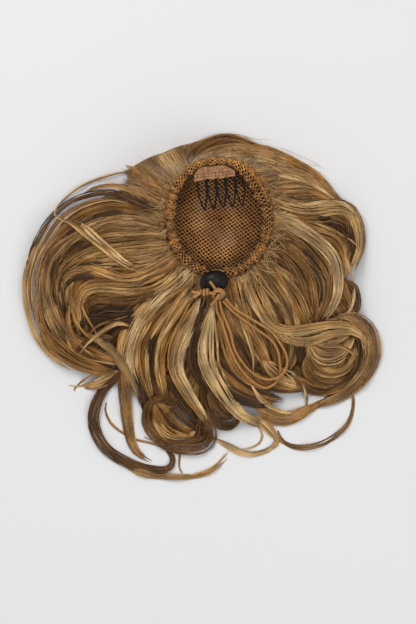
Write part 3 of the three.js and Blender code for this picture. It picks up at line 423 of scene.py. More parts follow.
# Cord routes, as in the CAD part
CORD = {
    "diameter": 2, "sides": 10, "step": 0.5, "fewest_rings": 12,
    "rib": 0.05, "rib_pitch": 1.3, "rib_starts": 2,
}
LEFT_LOOP_ROUTE = [
    (-2.4, -57.4, 52.4), (-1.2, -65.5, 45.8), (1.5, -72, 42), (5, -82.5, 39.4), (8.5, -93, 35.4),
    (13, -102.5, 31.8), (19.5, -111, 26.4), (26.5, -116.5, 21.8), (32.5, -119, 18.8), (37, -117.5, 17.4),
    (41, -113.5, 17.8), (43, -108, 20.8), (42.5, -101, 24.8), (41.5, -94.5, 28.6), (39, -88.5, 31),
    (35, -84, 33.4), (29.5, -80, 36.2), (23, -75.5, 39.4), (16.3, -70.7, 43), (9.5, -65.3, 46),
    (2.6, -58, 51.6),
]
RIGHT_LOOP_ROUTE = [
    (0.2, -57.8, 53), (1.8, -65, 46.8), (4.4, -71, 43.8), (7.8, -80, 41), (10.8, -91.5, 36.2),
    (16.3, -101, 30.8), (23.5, -108.6, 24.8), (31, -112.5, 21), (37, -113, 20.8), (42.5, -111, 22.2),
    (46.5, -106, 23.2), (47.7, -101, 24.6), (46.5, -94.5, 27.8), (41.5, -86, 33), (36.5, -79.5, 36.2),
    (28, -74, 40.2), (18.5, -68.2, 43.6), (10.5, -63.2, 47.4), (4.4, -56.6, 53.6),
]
RIM_CORD = {"points": 60, "exit_half_angle": 16}

# Cord lock and knots, as in the CAD part
BEAD = {"radius": 10, "half_length": 7, "bore": 3.8, "round": 96, "arc": 40, "bore_rings": 6}
BEAD_CENTRE = np.array([-3.5, -45, 51.3])
BEAD_AXIS = unit(np.array([0.28, -0.8, 0.55]))
BORE_CORD = {"offset": 1.35, "lead_in": 2.4}
# Turns of the knot's cord: their count so far, and there their radius and place along the knot's axis
KNOT_COIL = [(0, 3.1, -1.3), (1, 3.6, -0.7), (2, 3.9, 0.5), (2.6, 2.4, 1.2), (3, 1.5, 1)]
KNOT_STEPS = 220
KNOT_TURN = math.radians(200)
KNOT_CENTRE = np.array([-0.6, -53.3, 55.6])
KNOT_AXIS = unit(np.array([0.1, -0.6, 0.79]))
# Cut ends of cord that stick out of the knot, one over the bead and one below
KNOT_ENDS = [
    [(-1, -52, 57), (-3.6, -48.5, 59.6), (-6.4, -44.7, 61.5)],
    [(0.2, -53.6, 57.6), (-1.6, -56.4, 57.2), (-3.6, -58.8, 55.8), (-5.6, -60.8, 53.8)],
]
TAIL = {
    "coil_radius": 1.7, "pitch": 2.4, "turns": 2.25, "steps": 60,
    "end_length": 6, "end_points": 4, "spread": 0.35,
}
TAIL_LINK = [(-2.6, -53.2, 57.8), (-4.8, -53, 58.8), (-7, -52.2, 58.9)]
TAIL_START = np.array([-7.4, -51.7, 57.7])
TAIL_AIM = unit(np.array([-1, -0.2, -0.15]))

# Comb and tape: both lie in a plane turned and sloped with the upper edge of the rim
COMB = {
    "wire": 1.2, "pitch": 6.6, "teeth": 5, "stem": 13.5, "tooth": 23, "pair_offset": 0.5,
    "tip_half_width": 0.75, "bend": 1,
}
COMB_WIRE = {"samples": 90, "sides": 8, "slope_points": 6, "bar_points": 12}
COMB_BAR = {"length": 32, "thickness": 1.4}
COMB_PLACE = np.array([0.7, 28.3, 49.1])
COMB_TURN = math.radians(6)
COMB_SLOPE = math.radians(20)
TAPE = {"length": 28.5, "width": 9.2, "thickness": 1.2, "along": 64, "across": 16}
# Length and width of the tape's slanted upper corners
TAPE_SLANTS = {"left": (4.5, 5), "right": (7, 4.8)}
TAPE_PLACE = {"across": -3.8, "up": 3.8}
# Ripples of the tape between its stitches, and waves of its lower edge
TAPE_WAVES = {
    "ripple": 0.26, "across_rate": 1.3, "sag_rate": 0.35, "sag_shift": 1,
    "edge": 0.35, "edge_rate": 0.6, "edge_sway": 2, "edge_sway_rate": 0.23,
}
# Stitches: places of their rows across the tape, size, spacing and distance from the tape's ends
STITCHES = {
    "rows": (-2.5, -0.1), "length": 1.5, "spacing": 2.5, "radius": 0.27, "margin": 1.6,
    "points": 6, "sides": 6,
}

rng = np.random.default_rng(SEED)


# Colours and materials


def linear(rgb):
    """Linear colour of sRGB bytes."""
    share = np.asarray(rgb, float) / 255
    return np.where(share <= 0.04045, share / 12.92, ((share + 0.055) / 1.055) ** 2.4)


def set_inputs(node, values):
    """Constant values on a node's own sockets, by their names."""
    for name, value in values.items():
        node.inputs[name].default_value = value


def new_material(name, values):
    """A material whose shader has the given constant values."""
    material = bpy.data.materials.new(name)
    material.use_nodes = True
    nodes = material.node_tree.nodes
    shader = nodes["Principled BSDF"]
    set_inputs(shader, values)
    return material, nodes, material.node_tree.links, shader


def painted_colour(nodes):
    colour = nodes.new("ShaderNodeVertexColor")
    colour.layer_name = COLOUR_ATTRIBUTE
    return colour.outputs["Color"]


def noise_colours(nodes, links, noise_values, ends):
    """A noise over the object, and the colour along a ramp between two ends of place and colour."""
    place = nodes.new("ShaderNodeTexCoord")
    noise = nodes.new("ShaderNodeTexNoise")
    set_inputs(noise, noise_values)
    ramp = nodes.new("ShaderNodeValToRGB")
    for element, (position, colour) in zip(ramp.color_ramp.elements, ends):
        element.position = position
        element.color = (*colour, 1)
    links.new(place.outputs["Object"], noise.inputs["Vector"])
    links.new(noise.outputs["Fac"], ramp.inputs["Fac"])
    return noise.outputs["Fac"], ramp.outputs["Color"]


def hair_material():
    material, nodes, links, shader = new_material("hair_strands", {
        "Roughness": 0.4, "Specular IOR Level": 0.5, "Specular Tint": (1, 0.92, 0.8, 1),
    })
    links.new(painted_colour(nodes), shader.inputs["Base Color"])
    return material


def fabric_material(name, rgb, dark_rgb, noise_scale, roughness, bump, painted=False):
    """Cloth or thread whose colour and height vary with a noise, and its colour with any painted light and
    shade on it.
    """
    shader_values = {"Roughness": roughness, "Sheen Weight": FABRIC["sheen"]}
    material, nodes, links, shader = new_material(name, shader_values)
    ends = zip(FABRIC["ramp"], (linear(dark_rgb), linear(rgb)))
    noise_values = {"Scale": noise_scale, "Detail": FABRIC["noise_detail"]}
    noise, colour = noise_colours(nodes, links, noise_values, ends)
    if painted:
        product = nodes.new("ShaderNodeVectorMath")
        product.operation = "MULTIPLY"
        links.new(colour, product.inputs[0])
        links.new(painted_colour(nodes), product.inputs[1])
        colour = product.outputs["Vector"]
    height = nodes.new("ShaderNodeBump")
    set_inputs(height, {"Strength": bump, "Distance": FABRIC["bump_height"] * MM})
    links.new(colour, shader.inputs["Base Color"])
    links.new(noise, height.inputs["Height"])
    links.new(height.outputs["Normal"], shader.inputs["Normal"])
    return material


def hard_material(name, rgb, roughness, metallic):
    """Plastic or coated wire with a faint unevenness in its colour and gloss."""
    shader_values = {"Metallic": metallic, "Specular IOR Level": HARD["specular"]}
    material, nodes, links, shader = new_material(name, shader_values)
    ends = enumerate(tint * linear(rgb) for tint in HARD["tint"])
    noise, colour = noise_colours(nodes, links, {"Scale": HARD["noise_scale"]}, ends)
    gloss = nodes.new("ShaderNodeMapRange")
    uneven = HARD["uneven_gloss"]
    set_inputs(gloss, {"To Min": roughness - uneven, "To Max": roughness + uneven})
    links.new(colour, shader.inputs["Base Color"])
    links.new(noise, gloss.inputs["Value"])
    links.new(gloss.outputs["Result"], shader.inputs["Roughness"])
    return material


MATERIALS = {
    "hair": hair_material(),
    "net": fabric_material("net_thread", (255, 190, 106), (176, 114, 62), 60, 0.75, 0.2, painted=True),
    "casing": fabric_material("casing_thread", (208, 143, 66), (124, 82, 37), 260, 0.75, 0.3, painted=True),
    # Near-black hem: painted shade inside the casing
    "hem": fabric_material("shaded_casing_hem", (28, 18, 9), (14, 9, 5), 700, 0.9, 0.4),
    "cord": fabric_material("cord_cover", (194, 137, 68), (148, 99, 47), 900, 0.32, 0.2),
    "tape": fabric_material("tape_weave", (192, 137, 93), (130, 90, 58), 420, 0.8, 0.6),
    "stitch": fabric_material("stitch_thread", (92, 58, 38), (66, 41, 27), 2500, 0.7, 0.3),
    "bead": hard_material("bead_plastic", (9, 8, 7), 0.42, 0),
    "wire": hard_material("wire_coating", (22, 22, 25), 0.45, 0.2),
}


# Curves and meshes


def steps_along(path):
    return np.linalg.norm(np.diff(path, axis=0), axis=1)


def length_of(path):
    return float(steps_along(path).sum())


def curve_through(points, samples):
    """Points at even steps along a smooth curve through the given points."""
    points = np.asarray(points, float)
    before = 2 * points[:1] - points[1:2]
    after = 2 * points[-1:] - points[-2:-1]
    control = np.concatenate([before, points, after])
    knots = np.concatenate([[0], np.cumsum(steps_along(control) ** 0.5)])
    fine = []
    for i in range(1, len(control) - 2):
        t = np.linspace(knots[i], knots[i + 1], CURVE_STEPS, endpoint=False)[:, None]
        fine.append(curve_stretch(control[i - 1:i + 3], knots[i - 1:i + 3], t))
    fine = np.concatenate([*fine, points[-1:]])
    along = np.concatenate([[0], np.cumsum(steps_along(fine))])
    wanted = np.linspace(0, along[-1], samples)
    return np.stack([np.interp(wanted, along, values) for values in fine.T], axis=1)


def curve_stretch(points, knots, t):
    """One stretch of a Catmull-Rom curve, by its four control points and their knots."""
    while len(points) > 2:
        reach = len(knots) - len(points) + 1
        stretches = zip(points, points[1:], knots, knots[reach:])
        points = [blend(near, far, start, end, t) for near, far, start, end in stretches]
    return blend(points[0], points[1], knots[1], knots[2], t)


def blend(a, b, start, end, t):
    return (end - t) / (end - start) * a + (t - start) / (end - start) * b


def frames_along(paths):
    """Two cross directions along each path, turned as little as possible from point to point."""
    tangents = unit(np.gradient(paths, axis=1))
    sides = np.empty_like(tangents)
    first = np.cross(tangents[:, 0], UP)
    upright = np.linalg.norm(first, axis=1) < UPRIGHT_LIMIT
    first[upright] = np.cross(tangents[upright, 0], [1.0, 0.0, 0.0])
    sides[:, 0] = unit(first)
    for i in range(1, paths.shape[1]):
        leaning = np.sum(sides[:, i - 1] * tangents[:, i], axis=1, keepdims=True)
        sides[:, i] = unit(sides[:, i - 1] - leaning * tangents[:, i])
    return sides, np.cross(sides, tangents)


def wheel(angles, across, over):
    """Directions at angles from one cross direction to the other, on an axis of their own."""
    return np.cos(angles)[:, None] * across[..., None, :] + np.sin(angles)[:, None] * over[..., None, :]


def tubes(paths, radii, sides):
    """Rings of vertices round each path, as an array of paths by points by sides by xyz."""
    angles = np.arange(sides) / sides * FULL_TURN + math.pi / 2
    return paths[:, :, None, :] + radii[..., None, None] * wheel(angles, *frames_along(paths))


def quads_between(index, beside):
    """Quads between neighbouring rows of corner indices and the rows beside them."""
    return np.stack([index[:, :-1], beside[:, :-1], beside[:, 1:], index[:, 1:]], axis=-1).reshape(-1, 4)


def mesh_object(name, vertices, face_sets, material):
    """A smooth mesh in metres from vertices in millimetres and an array of faces for each corner count."""
    mesh = bpy.data.meshes.new(name)
    loops = np.concatenate([faces.ravel() for faces in face_sets])
    sizes = np.concatenate([np.full(len(faces), faces.shape[1]) for faces in face_sets])
    starts = np.concatenate([[0], np.cumsum(sizes)[:-1]])
    mesh.vertices.add(len(vertices))
    mesh.vertices.foreach_set("co", (np.asarray(vertices) * MM).astype(np.float32).ravel())
    mesh.loops.add(len(loops))
    mesh.loops.foreach_set("vertex_index", loops.astype(np.int32))
    mesh.polygons.add(len(sizes))
    mesh.polygons.foreach_set("loop_start", starts.astype(np.int32))
    mesh.polygons.foreach_set("use_smooth", np.ones(len(sizes), bool))
    mesh.update(calc_edges=True)
    mesh.validate()
    mesh.materials.append(material)
    piece = bpy.data.objects.new(name, mesh)
    bpy.context.scene.collection.objects.link(piece)
    return piece


def tubes_object(name, bundles, material):
    """One mesh of closed tubes, from arrays of rings as tubes() makes them."""
    quads, caps = [], []
    first = 0
    for rings in bundles:
        index = first + np.arange(rings.size // 3).reshape(rings.shape[:3])
        quads.append(quads_between(index, np.roll(index, -1, axis=2)))
        caps += [index[:, 0, ::-1], index[:, -1]]
        first += index.size
    vertices = np.concatenate([rings.reshape(-1, 3) for rings in bundles])
    return mesh_object(name, vertices, [np.concatenate(quads), np.concatenate(caps)], material)


def threads_object(name, paths, radius, sides, material):
    """One mesh of threads of one thickness, along paths of any length."""
    bundles = [tubes(path[None], np.full((1, len(path)), radius), sides) for path in paths]
    return tubes_object(name, bundles, material)


def paint(piece, colours):
    """A colour for each vertex of a piece."""
    attribute = piece.data.color_attributes.new(COLOUR_ATTRIBUTE, "FLOAT_COLOR", "POINT")
    rgba = np.concatenate([colours, np.ones((len(colours), 1))], axis=1)
    attribute.data.foreach_set("color", rgba.astype(np.float32).ravel())


def paint_threads(piece, shades, sides):
    """Painted light and shade, as grey on the threads of a piece, by a shade for each point of each thread.
    """
    paint(piece, np.repeat(np.concatenate(shades), sides)[:, None] * np.ones(3))


def settle(piece, node):
    """A finished piece rides on the part's one body and stands for a CAD node."""
    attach(piece, "root")
    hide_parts(node)
    return piece


# Rim, pocket and height of the hair


def rim_radius(angle):
    across = np.abs(np.cos(angle) / RIM["half_width"]) ** RIM["squareness"]
    along = np.abs(np.sin(angle) / RIM["half_length"]) ** RIM["squareness"]
    return (across + along) ** (-1 / RIM["squareness"])


def rim_height(angle):
    return RIM["height"] + RIM["rise"] * np.sin(angle)


def polar(angle, radius, z):
    return np.stack(np.broadcast_arrays(radius * np.cos(angle), radius * np.sin(angle), z), axis=-1)


def pocket_point(angle, share, offset):
    """A point on the pocket, a share of the way out from its middle, moved out from its inner face."""
    radius = rim_radius(angle)
    edge = rim_height(angle) - CASING["half_height"] - CLEARANCE
    grade = POCKET["depth"] * POCKET["steepness"] * share ** (POCKET["steepness"] - 1) / radius
    slant = np.hypot(grade, 1)
    height = edge - POCKET["depth"] * (1 - share ** POCKET["steepness"])
    return polar(angle, share * (radius - POCKET["wall"]) + offset * grade / slant, height - offset / slant)


def hair_reach(angle):
    degrees, reach = np.array(HAIR_REACH, float).T
    return np.interp(np.degrees(angle) % 360, degrees, reach)


def hair_height(x, y):
    """Height of the top of the hair over a point in plan: highest at the rim, low at its outer edge."""
    angle, radius = np.arctan2(y, x), np.hypot(x, y)
    inner, outer = rim_radius(angle), hair_reach(angle)
    share = np.clip((radius - inner) / (outer - inner), 0, 1)
    edge = HAIR["edge_height"] * np.maximum(0, 1 - np.maximum(0, radius - outer) / HAIR["edge_fall"])
    crown = rim_height(angle) - HAIR["below_rim"] - HAIR["edge_height"]
    return crown * (1 - share ** HAIR["swell"]) ** HAIR["slope"] + edge


# Hair


def one_each(count, low, high):
    """A random value for each of a count of strands, as a column."""
    return rng.uniform(low, high, (count, 1))


def tone_colours(tone, count):
    """Colours drawn at random from a tone."""
    shares = TONES[tone]
    names = rng.choice(list(shares), size=count, p=list(shares.values()))
    return np.array([linear(HAIR_COLOURS[name]) for name in names])


def hair_bed():
    """Body under the strands, streaked outwards from the rim and dimmed as painted shade, with the wall
    behind the net painted nearly black as shade.
    """
    around = BED["around"]
    angles = np.linspace(0, FULL_TURN, around, endpoint=False)[:, None]
    start = rim_radius(angles) + BED["start"]
    radius = start + (hair_reach(angles) - BED["inset"] - start) * np.linspace(0, 1, BED["along"])
    top = polar(angles, radius, 0)
    top[..., 2] = hair_height(top[..., 0], top[..., 1]) - BED["sink"]
    foot = top[:, -1:] * [1, 1, 0]
    behind_net = POCKET["wall"] + 2 * CLEARANCE
    pocket = pocket_point(angles, np.linspace(1, 0, BED["pocket_rings"])[None, :-1], behind_net)
    grid = np.concatenate([foot, top[:, ::-1], pocket], axis=1)
    index = np.arange(grid.size // 3).reshape(around, -1)
    turned = np.roll(index, -1, axis=0)
    middle = np.full(around, index.size)
    fans = np.concatenate([
        np.stack([index[:, -1], turned[:, -1], middle], axis=1),
        np.stack([turned[:, 0], index[:, 0], middle + 1], axis=1),
    ])
    ends = [pocket_point(np.zeros(1), np.zeros(1), behind_net), np.zeros((1, 3))]
    vertices = np.concatenate([grid.reshape(-1, 3), *ends])
    piece = mesh_object("hair_bed", vertices, [quads_between(index, turned), fans], MATERIALS["hair"])

    streaks = tone_colours("brown", around)
    drift = np.round(BED["swirl"] * np.linspace(1, 0, 1 + BED["along"])).astype(int)
    lane = (np.arange(around)[:, None] + drift) % around
    # Painted shade: the wall behind the net nearly black, and the streaks under the strands dimmed
    dark = np.tile(BED["net_shade"] * linear(HAIR_COLOURS["shadow"]), (around, BED["pocket_rings"] - 1, 1))
    colours = np.concatenate([BED["shade"] * streaks[lane], dark], axis=1).reshape(-1, 3)
    paint(piece, np.concatenate([colours, dark[0, :2]]))
    return settle(piece, "hair")


def starts_at_cap(lock):
    """Whether the root of a lock lies near the cap."""
    x, y = lock.path[0]
    return math.hypot(x, y) < rim_radius(math.atan2(y, x)) + LOCK_ROOT["within"]


def lock_line(lock):
    """The plan of a lock at even steps, with a root that lies near the cap drawn in under the casing."""
    path = lock.path
    if starts_at_cap(lock):
        angle = math.atan2(path[0][1], path[0][0])
        root = polar(angle, rim_radius(angle) + LOCK_ROOT["start"], 0)[:2]
        path = [tuple(root), *path[1:]]
    return curve_through(path, LINE_POINTS)


def at_shares(line, share):
    """The coordinates in plan at shares of the way along a line of even steps."""
    return [np.interp(share, np.linspace(0, 1, len(line)), line[:, axis]) for axis in (0, 1)]


def lock_profile(share, shape, tip_share):
    """Width of a lock along its length, as a share of its broadest."""
    grown = np.clip(share / shape["root_stretch"], 0, 1)
    grown = shape["root_share"] + (1 - shape["root_share"]) * grown * grown * (3 - 2 * grown)
    return grown * (1 - (1 - tip_share) * np.minimum(share, 1) ** 2)


def strand_points(lock):
    """How many points a strand of a lock needs, by the lock's length and how far it turns in all."""
    path = np.asarray(lock.path, float)
    headings = unit(np.diff(path, axis=0))
    cosines = np.clip(np.sum(headings[1:] * headings[:-1], axis=1), -1, 1)
    turning = float(np.sum(np.arccos(cosines)))
    more = length_of(path) / STRAND_POINTS["spacing"] + STRAND_POINTS["per_radian"] * turning
    return STRAND_POINTS["fewest"] + round(more)


def strand_bundle(x, y, z, share, colours, light=1.0, radius=STRANDS["radius"]):
    """Middle lines, radii and colours of strands, tapered to their tips, darker at their roots, and scaled
    by any painted light.
    """
    taper = np.clip((STRANDS["taper_end"] - share) * STRANDS["taper"], STRANDS["thinnest"], 1)
    radii = radius * one_each(len(x), *STRANDS["uneven"]) * taper
    out = np.clip(share / STRANDS["root_share"], 0, 1)
    shade = light * (STRANDS["root_shade"] + (1 - STRANDS["root_shade"]) * out)
    return np.stack([x, y, np.maximum(z, radii)], axis=-1), radii, colours[:, None, :] * shade[..., None]


def streak_colours(lock, lane):
    """Colours over the width of a lock, blended between a few streaks of its tone."""
    count = STREAKS["fewest"] + round(lock.width / STREAKS["width"])
    places = np.sort(rng.uniform(-STREAKS["reach"], STREAKS["reach"], count))
    drawn = tone_colours(lock.tone, count)
    return np.stack([np.interp(lane, places, channel) for channel in drawn.T], axis=-1)


def turned_under(x, y, z, short):
    """Strands bent down to the floor where they come to the edge of the hair, each a little short of it."""
    angle, radius = np.arctan2(y, x), np.hypot(x, y)
    edge = hair_reach(angle) + TUCK["overhang"] - short
    bend = np.clip(1 + (radius - edge) / TUCK["stretch"], 0, 1)
    plan = polar(angle, np.minimum(radius, edge), 0)
    return plan[..., 0], plan[..., 1], z * np.sqrt(1 - bend ** 2)


def lock_strands(lock, tucked):
    """The strands of a lock, in wisps that taper to a tip or turn under at the edge of the hair."""
    line = lock_line(lock)
    length = length_of(line)
    per_wisp = STRANDS["per_wisp"]
    wisps = max(STRANDS["fewest_wisps"], round(STRANDS["per_mm"] * lock.width / per_wisp))
    count = wisps * per_wisp

    def each(low, high):
        """One value for each strand."""
        return one_each(count, low, high)

    def shared(low, high):
        """One value for each wisp, given to each of its strands."""
        return np.repeat(rng.uniform(low, high, wisps), per_wisp)[:, None]

    places = (np.arange(wisps) + rng.uniform(*WISPS["in_lane"], wisps)) / wisps * 2 - 1
    lane = np.repeat(places, per_wisp)[:, None]
    depth = np.where(shared(0, 1) < WISPS["upper_share"], shared(*WISPS["upper"]), shared(*WISPS["lower"]))
    start = shared(0, ENDS["wisp_start"]) + each(0, ENDS["strand_start"])
    if tucked:
        end = shared(ENDS["tucked"], 1)
    else:
        end = shared(ENDS["free"], 1) - each(0, ENDS["strand_short"]) ** ENDS["power"]
    points = strand_points(lock) + (TUCK["more_points"] if tucked else 0)
    share = start + (end - start) * np.linspace(0, 1, points)
    wander = shared(*WISPS["wander"])
    turns = shared(*WISPS["wander_turns"]) * share + shared(0, 1)
    drift = shared(-WISPS["drift"], WISPS["drift"]) * (share - 0.5)
    across = lane + drift + wander * np.sin(FULL_TURN * turns)
    across = np.clip(across, -WISPS["outermost"], WISPS["outermost"])
    shape = LOCK_SHAPE if starts_at_cap(lock) else FREE_LOCK_SHAPE
    half_width = lock.width / 2 * lock_profile(share, shape, 1 if tucked else shape["tip_share"])
    half_height = half_width * LOCK_FLATNESS
    fullness = np.minimum(1, half_width / WISPS["full_from"])
    thinning = TUCK["wisp_spread"] if tucked else WISPS["root_size"] - WISPS["tip_loss"] * share
    wisp_radius = WISPS["radius"] * shared(*WISPS["uneven"]) * fullness * thinning
    angle, reach = each(0, FULL_TURN), np.sqrt(each(0, 1))
    wave = FINE_WAVES["height"] * np.sin(FULL_TURN * (length / FINE_WAVES["length"] * share + each(0, 1)))
    sideways = across * half_width * STRANDS["spread"] + wisp_radius * reach * np.cos(angle) + wave
    centre, aim = at_shares(line, share), at_shares(unit(np.gradient(line, axis=0)), share)
    x = centre[0] + aim[1] * sideways
    y = centre[1] - aim[0] * sideways
    lift = lock.lift * np.clip(share / LOCK_ROOT["rise_share"], 0, 1)
    ride = np.maximum(half_height, hair_height(x, y) + lift - half_height / 2)
    phase = shared(0, WAVES["uneven"]) + rng.random()
    crest = np.sin(FULL_TURN * (length / WAVES["length"] * share + phase))
    swell = half_height * np.sqrt(np.maximum(0, 1 - across ** 2)) * depth
    z = ride + swell + WISPS["flatness"] * wisp_radius * reach * np.sin(angle) + WAVES["height"] * crest
    if tucked:
        x, y, z = turned_under(x, y, z, each(0, TUCK["uneven"]))
    mixed = each(0, STREAKS["mixed"])
    colours = (1 - mixed) * streak_colours(lock, lane[:, 0]) + mixed * tone_colours(lock.tone, count)
    # Painted light and shade: crests of the waves lighter, troughs darker
    return strand_bundle(x, y, z, share, colours * each(*STREAKS["uneven"]), 1 + WAVES["shade"] * crest)


def fill_strands(lock, following, tucked):
    """Strands that lie between two neighbouring locks, a little lower than either and painted darker as the
    shade between them.
    """
    lines = [lock_line(lock), lock_line(following)]
    spacing = np.linalg.norm(lines[0] - lines[1], axis=1).mean()
    count = max(FILL["fewest"], round(FILL["per_mm"] * spacing))
    place = ((np.arange(count) + rng.random(count)) / count)[:, None]
    points = max(strand_points(lock), strand_points(following))
    share = one_each(count, 0, FILL["start"]) + one_each(count, *FILL["length"]) * np.linspace(0, 1, points)
    turns = one_each(count, *FILL["wave_turns"]) * share + one_each(count, 0, 1)
    place = place + FILL["wave"] * np.sin(FULL_TURN * turns)
    sides = zip(at_shares(lines[0], share), at_shares(lines[1], share))
    x, y = [(1 - place) * near + place * far for near, far in sides]
    lift = (1 - place) * lock.lift + place * following.lift
    z = hair_height(x, y) + lift - FILL["sink"] + one_each(count, *FILL["height"])
    if tucked:
        x, y, z = turned_under(x, y, z, 0)
    like_following = one_each(count, 0, 1) < place[:, :1]
    own = tone_colours(lock.tone, count)
    colours = np.where(like_following, tone_colours(following.tone, count), own)
    # Painted shade: fill strands dimmed as the shade between locks
    return strand_bundle(x, y, z, share, colours * FILL["shade"] * one_each(count, *FILL["uneven"]))


def root_strands():
    """Short fuzzy strands from under the casing outwards."""
    count, points = ROOTS["count"], ROOTS["points"]
    share = np.broadcast_to(np.linspace(0, 1, points), (count, points))
    angle = one_each(count, 0, FULL_TURN)
    lean, bend = [rng.normal(0, ROOTS[name], (count, 1)) for name in ("lean", "bend")]
    heading = angle + lean + bend * share
    longest = ROOTS["depth_share"] * (hair_reach(angle) - rim_radius(angle))
    step = np.minimum(one_each(count, *ROOTS["length"]), longest) / (points - 1)
    start = polar(angle, rim_radius(angle) + one_each(count, 0, ROOTS["start"]), 0)
    moves = [step * np.cos(heading), step * np.sin(heading)]
    x, y = [start[..., axis] + np.cumsum(move, axis=1) - move for axis, move in enumerate(moves)]
    settled = np.clip(share / ROOTS["settled_share"], 0, 1)
    root_height = rim_height(angle) - CASING["half_height"]
    top = hair_height(x, y) + one_each(count, 0, ROOTS["lift"]) + ROOTS["arch"] * np.sin(math.pi * share)
    z = (1 - settled) * root_height + settled * top
    return strand_bundle(x, y, z, share, tone_colours("ash", count))


def flyaway_strands():
    """Single hairs that leave the line of a lock and cross over its neighbours."""
    regions = [locks for region, locks in LOCKS.items() if region not in TUCKED_REGIONS]
    locks = [lock for region in regions for lock in region if starts_at_cap(lock)]
    count = FLYAWAYS["count"]
    share = np.linspace(0, 1, FLYAWAYS["points"])
    plans, colours = [], []
    for lock in [locks[pick] for pick in rng.integers(len(locks), size=count)]:
        span = rng.uniform(*FLYAWAYS["span"])
        first = rng.uniform(FLYAWAYS["margin"], 1 - FLYAWAYS["margin"] - span)
        plan = np.stack(at_shares(lock_line(lock), first + span * share), axis=1)
        heading = unit(np.gradient(plan, axis=0))
        offset = rng.uniform(-FLYAWAYS["offset"], FLYAWAYS["offset"]) * lock.width
        offset = offset + rng.normal(0, FLYAWAYS["stray"]) * share ** FLYAWAYS["stray_power"]
        plans.append(plan + np.stack([heading[:, 1], -heading[:, 0]], axis=1) * offset[:, None])
        colours.append(tone_colours(lock.tone, 1)[0])
    x, y = np.moveaxis(np.array(plans), -1, 0)
    z = hair_height(x, y) + one_each(count, *FLYAWAYS["lift"]) + FLYAWAYS["arch"] * np.sin(math.pi * share)
    share = np.broadcast_to(share, x.shape)
    return strand_bundle(x, y, z, share, np.array(colours), radius=FLYAWAYS["radius"])


def strand_piece(name, bundles):
    """One mesh of all the strands of several bundles."""
    sides = STRANDS["sides"]
    rings = [tubes(paths, radii, sides) for paths, radii, _ in bundles]
    piece = tubes_object(name, rings, MATERIALS["hair"])
    tints = [np.repeat(colours.reshape(-1, 3), sides, axis=0) for _, _, colours in bundles]
    paint(piece, np.concatenate(tints))
    return settle(piece, "hair")


def region_bundles(locks, tucked):
    """The strands of a region's locks and of the ways between them."""
    bundles = [lock_strands(lock, tucked) for lock in locks]
    pairs = zip(locks, locks[1:])
    return bundles + [fill_strands(lock, following, tucked) for lock, following in pairs if lock.joined]


# Net pocket and casing


def net_pocket():
    """Woven net over the pocket: two sets of threads, over and under each other, with painted shade towards
    the rim.
    """
    reach, spacing = RIM["half_length"], NET["spacing"]
    most = round(reach / spacing)
    t = np.arange(-reach, reach, NET["step"])
    paths, shades = [], []
    for phase, slant in enumerate(np.radians(NET["slants"])):
        along = np.array([math.cos(slant), math.sin(slant)])
        beside = np.array([-along[1], along[0]])
        for lane in range(-most, most + 1):
            wobble = NET["wobble"] * np.sin(NET["wobble_rate"] * t + NET["lane_shift"] * lane)
            flat = along * t[:, None] + beside * (lane * spacing + wobble)[:, None]
            angle = np.arctan2(flat[:, 1], flat[:, 0])
            share = np.linalg.norm(flat, axis=1) / (rim_radius(angle) - POCKET["wall"])
            inside = share < NET["edge_share"]
            if np.count_nonzero(inside) < NET["fewest_points"]:
                continue
            share = share[inside]
            weave = NET["weave"] * np.cos(math.pi * (t[inside] / spacing + lane + phase))
            paths.append(pocket_point(angle[inside], share, POCKET["wall"] / 2 + weave))
            # Painted shade: the threads darken towards the rim, for the shade in the hollow under the
            # casing
            outwards = np.clip((share - NET_HOLLOW_SHADE["from_share"]) / (1 - NET_HOLLOW_SHADE["from_share"]), 0, 1)
            shades.append(1 - NET_HOLLOW_SHADE["darkening"] * outwards)
    piece = threads_object("net_pocket", paths, NET["radius"], NET["sides"], MATERIALS["net"])
    paint_threads(piece, shades, NET["sides"])
    return settle(piece, "net_cap")


def bead_angle():
    """Direction of the bead from the middle of the cap."""
    return math.atan2(BEAD_CENTRE[1], BEAD_CENTRE[0])


def casing_span(count):
    """Angles round the casing, from one side of its opening behind the bead to the other."""
    leave = math.radians(CASING["open_half_angle"])
    return np.linspace(bead_angle() + leave, bead_angle() + FULL_TURN - leave, count)


def casing_gather(angle):
    """How far the gathers swell the casing, as a share of its width."""
    total = 0
    for gather in GATHERS:
        sway = gather.sway * np.sin(gather.sway_count * angle + gather.phase)
        total = total + gather.size * np.sin(gather.count * angle + sway)
    return total


def casing_shade(angle, turn):
    """Light on the casing's threads, at an angle round the rim and a turn round its section."""
    crest = 1 + CASING_SHADE["between_gathers"] * casing_gather(angle)
    side = 1 - CASING_SHADE["down_sides"] * (1 - np.abs(np.sin(turn)))
    upper = np.maximum(0, np.sin(angle)) ** CASING_SHADE["comb_power"]
    return crest * side * (1 + CASING_SHADE["at_comb"] * upper)


def casing_point(angle, turn, swell):
    """A point on the gathered casing, at an angle round the rim and a turn round its section."""
    gather = casing_gather(angle)
    breadth = 1 - CASING["narrowing"] * np.maximum(0, np.sin(angle)) ** CASING["narrowing_power"]
    from_panel = (angle - math.radians(PANEL["middle"]) + math.pi) % FULL_TURN - math.pi
    panel = np.exp(-(from_panel / math.radians(PANEL["spread"])) ** 2)
    half_width = CASING["half_width"] * swell * (1 + gather) * (breadth + PANEL["widening"] * panel)
    across = half_width * np.cos(turn) - PANEL["inwards"] * panel
    height = CASING["half_height"] * swell * (1 + GATHER_IN_HEIGHT * gather) * np.sin(turn)
    height = height + PANEL["fall"] * panel * np.minimum(0, across)
    return polar(angle, rim_radius(angle) + across, rim_height(angle) + height)


